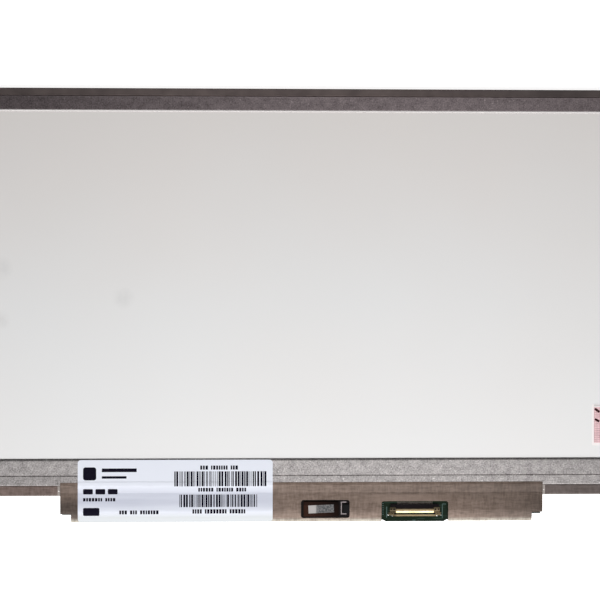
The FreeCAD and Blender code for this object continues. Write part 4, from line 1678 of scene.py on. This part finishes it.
@dataclass
class BoardAssembly(SubAssembly):
    """Circuit board with its chips, and the marking printed round them."""

    mark_rise: float = 0.02
    surround_rise: float = 0.012
    surround: tuple[Rect, ...] = (
        ((-1.7, -0.05), (-1.3, 6.95)),
        ((14.65, 16.3), (-0.05, 6.25)),
        ((-0.05, 19.4), (6.25, 6.95)),
        ((-0.05, 19.4), (-1.3, -0.05)),
        ((16.3, 19.4), (5.05, 6.25)),
        ((16.3, 19.4), (-0.05, 1.15)),
    )
    bracket: tuple[Rect, ...] = (
        ((-0.8, -0.42), (-0.5, 4.8)),
        ((-0.3, 1.5), (4.4, 4.85)),
        ((-0.3, 1.5), (-0.45, 0.0)),
    )
    edge_mark: Rect = ((10.0, 11.2), (-1.95, -1.55))
    outlines: tuple[Rect, ...] = (
        ((-0.95, -0.6), (-0.6, 4.0)),
        ((22.3, 22.6), (-0.9, 5.1)),
        ((22.3, 24.0), (4.85, 5.15)),
        ((9.1, 9.7), (4.9, 5.3)),
        ((10.2, 10.8), (4.9, 5.3)),
    )
    ticks: int = 6
    tick_xs: Span = (-2.6, -2.05)
    tick_start: float = 0.7
    tick_pitch: float = 0.88
    tick_width: float = 0.3

    def finishes(self) -> dict[str, Finish]:
        """Finish of each CAD node of the group, by node name."""
        return {
            "circuit_board": BOARD_MASK,
            "timing_chip": TIMING_RESIN,
            "rectifier_diode": DIODE_RESIN,
            "led_driver_chip": CHIP_RESIN,
            "power_inductor": FERRITE,
            "capacitors": CERAMIC,
            "code_label": CODE_FOIL,
        }

    def add_pieces(self) -> None:
        """Lay the dark film round the chip, and print the bracket, the socket's outline and an edge mark."""
        self.lay_flat("chip_surround", SURROUND_FILM, "timing_chip", self.surround, self.surround_rise)
        self.lay_flat("board_marking", BOARD_SILK, "rectifier_diode", self.bracket, self.mark_rise)
        starts = [self.tick_start + self.tick_pitch * n for n in range(self.ticks)]
        ticks = [(self.tick_xs, (y, y + self.tick_width)) for y in starts]
        outlines = (*self.outlines, self.edge_mark, *ticks)
        self.lay_flat("socket_outline", OUTLINE_SILK, "connector_shell", outlines, self.mark_rise)

    def lay_flat(self, name: str, finish: Finish, beside: str, spans: tuple[Rect, ...], rise: float) -> None:
        """Lay flat shapes on the board's back.

        Args:
            name: name of the piece.
            finish: its finish.
            beside: CAD node on the board's back, whose low corner the shapes are measured from.
            spans: ends of each shape along X and along Y, in millimetres.
            rise: how far the shapes stand out, in millimetres.
        """
        corner = box_mm(beside)[0]
        zs = (corner.z + INK_SINK, corner.z + rise)
        marks = Blocks()
        for xs, ys in spans:
            marks.block((corner.x + xs[0], corner.x + xs[1]), (corner.y + ys[0], corner.y + ys[1]), zs)
        marks.piece(name, finish)


@dataclass(frozen=True)
class Drop:
    """A drop of solder: its place from the shell's low corner and its radius, in millimetres."""

    right: float
    up: float
    radius: float


@dataclass
class SignalSocket(SubAssembly):
    """The thirty-way socket on the board's tab, with its solder."""

    solder: tuple[Drop, ...] = (
        Drop(right=-0.2, up=0.6, radius=0.4),
        Drop(right=1.45, up=0.15, radius=0.22),
        Drop(right=20.15, up=0.25, radius=0.34),
        Drop(right=21.95, up=0.45, radius=0.2),
    )
    solder_flatness: float = 0.65

    def finishes(self) -> dict[str, Finish]:
        """Finish of each CAD node of the group, by node name."""
        return {
            "connector_housing": SOCKET_PLASTIC,
            "connector_shell": GILT,
            "connector_contacts": CONTACT_PLATE,
        }

    def add_pieces(self) -> None:
        """Add the drops of solder that hold the shell."""
        low = box_mm("connector_shell")[0]
        drops = Blocks()
        for drop in self.solder:
            centre = (low.x + drop.right, low.y + drop.up, low.z)
            drops.dome(centre, drop.radius, drop.radius * self.solder_flatness)
        drops.piece("shell_solder", SOLDER)


@dataclass
class BoardCover(SubAssembly):
    """Woven film over the circuit board."""

    def finishes(self) -> dict[str, Finish]:
        """Finish of each CAD node of the group, by node name."""
        return {"board_cover": COVER_CLOTH}


@dataclass
class PanelLabel(SubAssembly):
    """Large label across the lower band, with plain marks, bars and dashes."""

    seed: int = 7
    bar_rows: tuple[Rect, ...] = (
        ((39.8, 77.9), (-11.0, -4.8)),
        ((41.9, 74.7), (-19.6, -14.4)),
    )
    bar_unit: float = 0.27
    bar_widths: tuple[int, ...] = (1, 1, 2, 3)
    bar_gaps: tuple[int, ...] = (1, 1, 2)
    dash_rows: tuple[Rect, ...] = (
        ((50.5, 67.1), (-4.1, -2.4)),
        ((49.7, 70.7), (-13.2, -11.6)),
        ((47.3, 69.7), (-22.3, -20.5)),
        ((2.2, 17.1), (-17.1, -15.7)),
        ((17.1, 33.9), (-22.5, -20.9)),
    )
    dash_widths: Span = (0.55, 1.0)
    dash_gap: float = 0.3
    group_gap: float = 1.3
    group_sizes: tuple[int, int] = (3, 8)
    marks: tuple[Print, ...] = (
        ((2.2, 7.6), (-8.4, -3.0), 1.0),
        ((9.9, 24.3), (-5.0, -3.5), 0.2),
        ((9.9, 20.1), (-7.7, -6.7), 0.2),
        ((2.2, 6.2), (-14.2, -12.0), 0.4),
        ((7.3, 11.3), (-14.2, -12.0), 0.4),
        ((12.4, 16.4), (-14.2, -12.0), 0.4),
        ((2.2, 8.9), (-23.1, -19.8), 0.5),
    )

    def finishes(self) -> dict[str, Finish]:
        """Finish of each CAD node of the group, by node name."""
        return {"panel_label": LABEL_PAPER}

    def add_pieces(self) -> None:
        """Print the marks, the bar rows and the dash rows."""
        draw = random.Random(self.seed)
        self.print_set("label_marks", list(self.marks))
        bars = [(ends, ys, 0.0) for xs, ys in self.bar_rows for ends in self.bar_spans(draw, xs)]
        self.print_set("label_bars", bars)
        dashes = [(ends, ys, 0.0) for xs, ys in self.dash_rows for ends in self.dash_spans(draw, xs)]
        self.print_set("label_dashes", dashes)

    def print_set(self, name: str, prints: list[Print]) -> None:
        """Print flat shapes on the label.

        Args:
            name: name of the piece.
            prints: ends of each shape along X and Y, from the label's upper left corner, and the radius
                of its corners.
        """
        low, high = box_mm("panel_label")
        made = Blocks()
        for xs, ys, corner in prints:
            ends = (low.x + xs[0], low.x + xs[1])
            made.block(ends, (high.y + ys[0], high.y + ys[1]), (INK_SINK, INK_RISE), corner)
        made.lay_on(Surface("panel_label"))
        made.piece(name, LABEL_INK)

    def bar_spans(self, draw: random.Random, xs: Span) -> list[Span]:
        """Places of the upright bars in one row.

        Args:
            draw: source of the random widths.
            xs: the row's two ends in millimetres.

        Returns:
            The two ends of each bar.
        """
        spans = []
        x = xs[0]
        while x < xs[1] - max(self.bar_widths) * self.bar_unit:
            width = self.bar_unit * draw.choice(self.bar_widths)
            spans.append((x, x + width))
            x += width + self.bar_unit * draw.choice(self.bar_gaps)
        return spans

    def dash_spans(self, draw: random.Random, xs: Span) -> list[Span]:
        """Places of the dashes in one row, which is broken into groups.

        Args:
            draw: source of the random widths.
            xs: the row's two ends in millimetres.

        Returns:
            The two ends of each dash.
        """
        spans = []
        x = xs[0]
        left_in_group = draw.randint(*self.group_sizes)
        while x < xs[1] - self.dash_widths[1]:
            width = draw.uniform(*self.dash_widths)
            spans.append((x, x + width))
            left_in_group -= 1
            if left_in_group == 0:
                left_in_group = draw.randint(*self.group_sizes)
                x += width + self.group_gap
            else:
                x += width + self.dash_gap
        return spans


@dataclass(frozen=True)
class Stroke:
    """A slanting stroke: its middle from the upper left corner, its size, and its turn in degrees."""

    right: float
    up: float
    length: float
    width: float
    turn: float


@dataclass
class SealSticker(SubAssembly):
    """Pink sticker on its white backing, with two short strokes."""

    backing_left: float = 0.85
    backing_below: float = 1.1
    backing_rise: float = 0.02
    backing_corner: float = 0.7
    strokes: tuple[Stroke, ...] = (
        Stroke(right=1.38, up=-2.6, length=2.5, width=1.0, turn=-37.0),
        Stroke(right=1.35, up=-6.75, length=2.2, width=0.95, turn=-29.0),
    )
    stroke_rounding: float = 1 / 3

    def finishes(self) -> dict[str, Finish]:
        """Finish of each CAD node of the group, by node name."""
        return {"seal_sticker": SEAL_PRINT}

    def add_pieces(self) -> None:
        """Lay the backing under the sticker, and print the two slanting strokes."""
        low, high = box_mm("seal_sticker")
        backing = Blocks()
        backing.block(
            (low.x - self.backing_left, high.x + self.backing_left),
            (low.y - self.backing_below, high.y),
            (low.z + INK_SINK, low.z + self.backing_rise),
            self.backing_corner,
        )
        backing.piece("seal_backing", SEAL_BACKING)
        ink = Blocks()
        for stroke in self.strokes:
            x = low.x + stroke.right
            y = high.y + stroke.up
            xs = (x - stroke.length / 2, x + stroke.length / 2)
            ys = (y - stroke.width / 2, y + stroke.width / 2)
            corner = stroke.width * self.stroke_rounding
            ink.block(xs, ys, (INK_SINK, INK_RISE), corner, stroke.turn)
        ink.lay_on(Surface("seal_sticker"))
        ink.piece("seal_strokes", STROKE_INK)


# Studio


@dataclass
class Studio:
    """Pale floor, soft light and the camera above the module's back."""

    floor_half: float = 4.0
    floor_drop: float = 0.0002
    floor_colour: Colour = (0.92, 0.92, 0.92)
    floor_glow: float = 0.85
    floor_roughness: float = 0.8
    floor_cells: int = 8
    sky: tuple[Span, ...] = ((0.0, 0.9), (0.2, 0.5), (0.4, 0.13), (0.5, 0.06), (1.0, 0.07))
    sky_sides: Span = (-1.0, 1.0)
    softbox_tilt: float = 40.0
    softbox_side: float = 0.06
    softbox_distance: float = 0.5
    softbox_size: Span = (1.1, 0.36)
    softbox_power: float = 3.95
    camera_distance: float = 1.0
    camera_target: Place = (-1.055, 2.217, 3.0)
    camera_lean: float = 2.72
    camera_roll: float = 0.016
    view_width: float = 248.65
    sensor: float = 36.0

    def build(self) -> None:
        """Make the floor, the sky, the softbox and the camera."""
        self.lay_floor()
        self.light_sky()
        self.hang_softbox()
        self.set_camera()
        bpy.context.scene.view_settings.view_transform = "Standard"

    def lay_floor(self) -> None:
        """Lay the pale floor just under the module."""
        mesh = bmesh.new()
        place = Matrix.Translation((0.0, 0.0, -self.floor_drop))
        cells = self.floor_cells
        bmesh.ops.create_grid(mesh, x_segments=cells, y_segments=cells, size=self.floor_half, matrix=place)
        data = bpy.data.meshes.new("floor")
        mesh.to_mesh(data)
        mesh.free()
        graph = ShaderGraph("pale_floor")
        graph.shade(
            {
                "Base Color": self.floor_colour,
                "Roughness": self.floor_roughness,
                "Emission Color": WHITE,
                "Emission Strength": self.floor_glow,
            }
        )
        data.materials.append(graph.material)
        floor = bpy.data.objects.new("floor", data)
        bpy.context.scene.collection.objects.link(floor)

    def light_sky(self) -> None:
        """Light the room softly from the lower-edge side, with a plain white background."""
        world = bpy.data.worlds.new("studio_sky")
        world.use_nodes = True
        tree = world.node_tree
        place = tree.nodes.new("ShaderNodeTexCoord")
        split = tree.nodes.new("ShaderNodeSeparateXYZ")
        share = tree.nodes.new("ShaderNodeMapRange")
        for end, side in zip(("From Min", "From Max"), self.sky_sides):
            share.inputs[end].default_value = side
        ramp = tree.nodes.new("ShaderNodeValToRGB")
        fill_ramp(ramp, self.sky)
        seen = tree.nodes.new("ShaderNodeLightPath")
        backdrop = tree.nodes.new("ShaderNodeMix")
        backdrop.data_type = "RGBA"
        look, lit, plain = (backdrop.inputs[number] for number in MIX_INPUTS)
        plain.default_value = (*WHITE, OPAQUE)
        tree.links.new(place.outputs["Generated"], split.inputs["Vector"])
        tree.links.new(split.outputs["Y"], share.inputs["Value"])
        tree.links.new(share.outputs["Result"], ramp.inputs["Fac"])
        tree.links.new(seen.outputs["Is Camera Ray"], look)
        tree.links.new(ramp.outputs["Color"], lit)
        tree.links.new(backdrop.outputs[MIX_OUTPUT], tree.nodes["Background"].inputs["Color"])
        bpy.context.scene.world = world

    def hang_softbox(self) -> None:
        """Hang the large soft light on the lower-edge side, aimed at the module."""
        data = bpy.data.lights.new("softbox", "AREA")
        data.shape = "RECTANGLE"
        data.size, data.size_y = self.softbox_size
        data.energy = self.softbox_power
        softbox = bpy.data.objects.new("softbox", data)
        lean = Matrix.Rotation(math.radians(self.softbox_tilt), MATRIX_SIZE, "X")
        softbox.matrix_world = lean @ Matrix.Translation((self.softbox_side, 0.0, self.softbox_distance))
        bpy.context.scene.collection.objects.link(softbox)

    def set_camera(self) -> None:
        """Set the camera above the module's back, as the photograph was taken."""
        data = bpy.data.cameras.new("camera")
        data.sensor_width = self.sensor
        data.lens = self.sensor * self.camera_distance / (self.view_width * MM)
        camera = bpy.data.objects.new("camera", data)
        lean = Matrix.Rotation(math.radians(-self.camera_lean), MATRIX_SIZE, "Y")
        roll = Matrix.Rotation(math.radians(self.camera_roll), MATRIX_SIZE, "Z")
        target = Matrix.Translation(Vector(self.camera_target) * MM)
        camera.matrix_world = target @ lean @ Matrix.Translation((0.0, 0.0, self.camera_distance)) @ roll
        bpy.context.scene.collection.objects.link(camera)
        bpy.context.scene.camera = camera


def main() -> None:
    """Build the sub-assemblies and the studio, in order."""
    logging.basicConfig(level=logging.INFO, format="%(name)s: %(message)s")
    groups: tuple[SubAssembly, ...] = (
        Housing(),
        Backlight(),
        DisplayCell(),
        BoardAssembly(),
        SignalSocket(),
        BoardCover(),
        PanelLabel(),
        SealSticker(),
    )
    for group in groups:
        group.build()
    Studio().build()


if __name__ == "__main__":
    main()
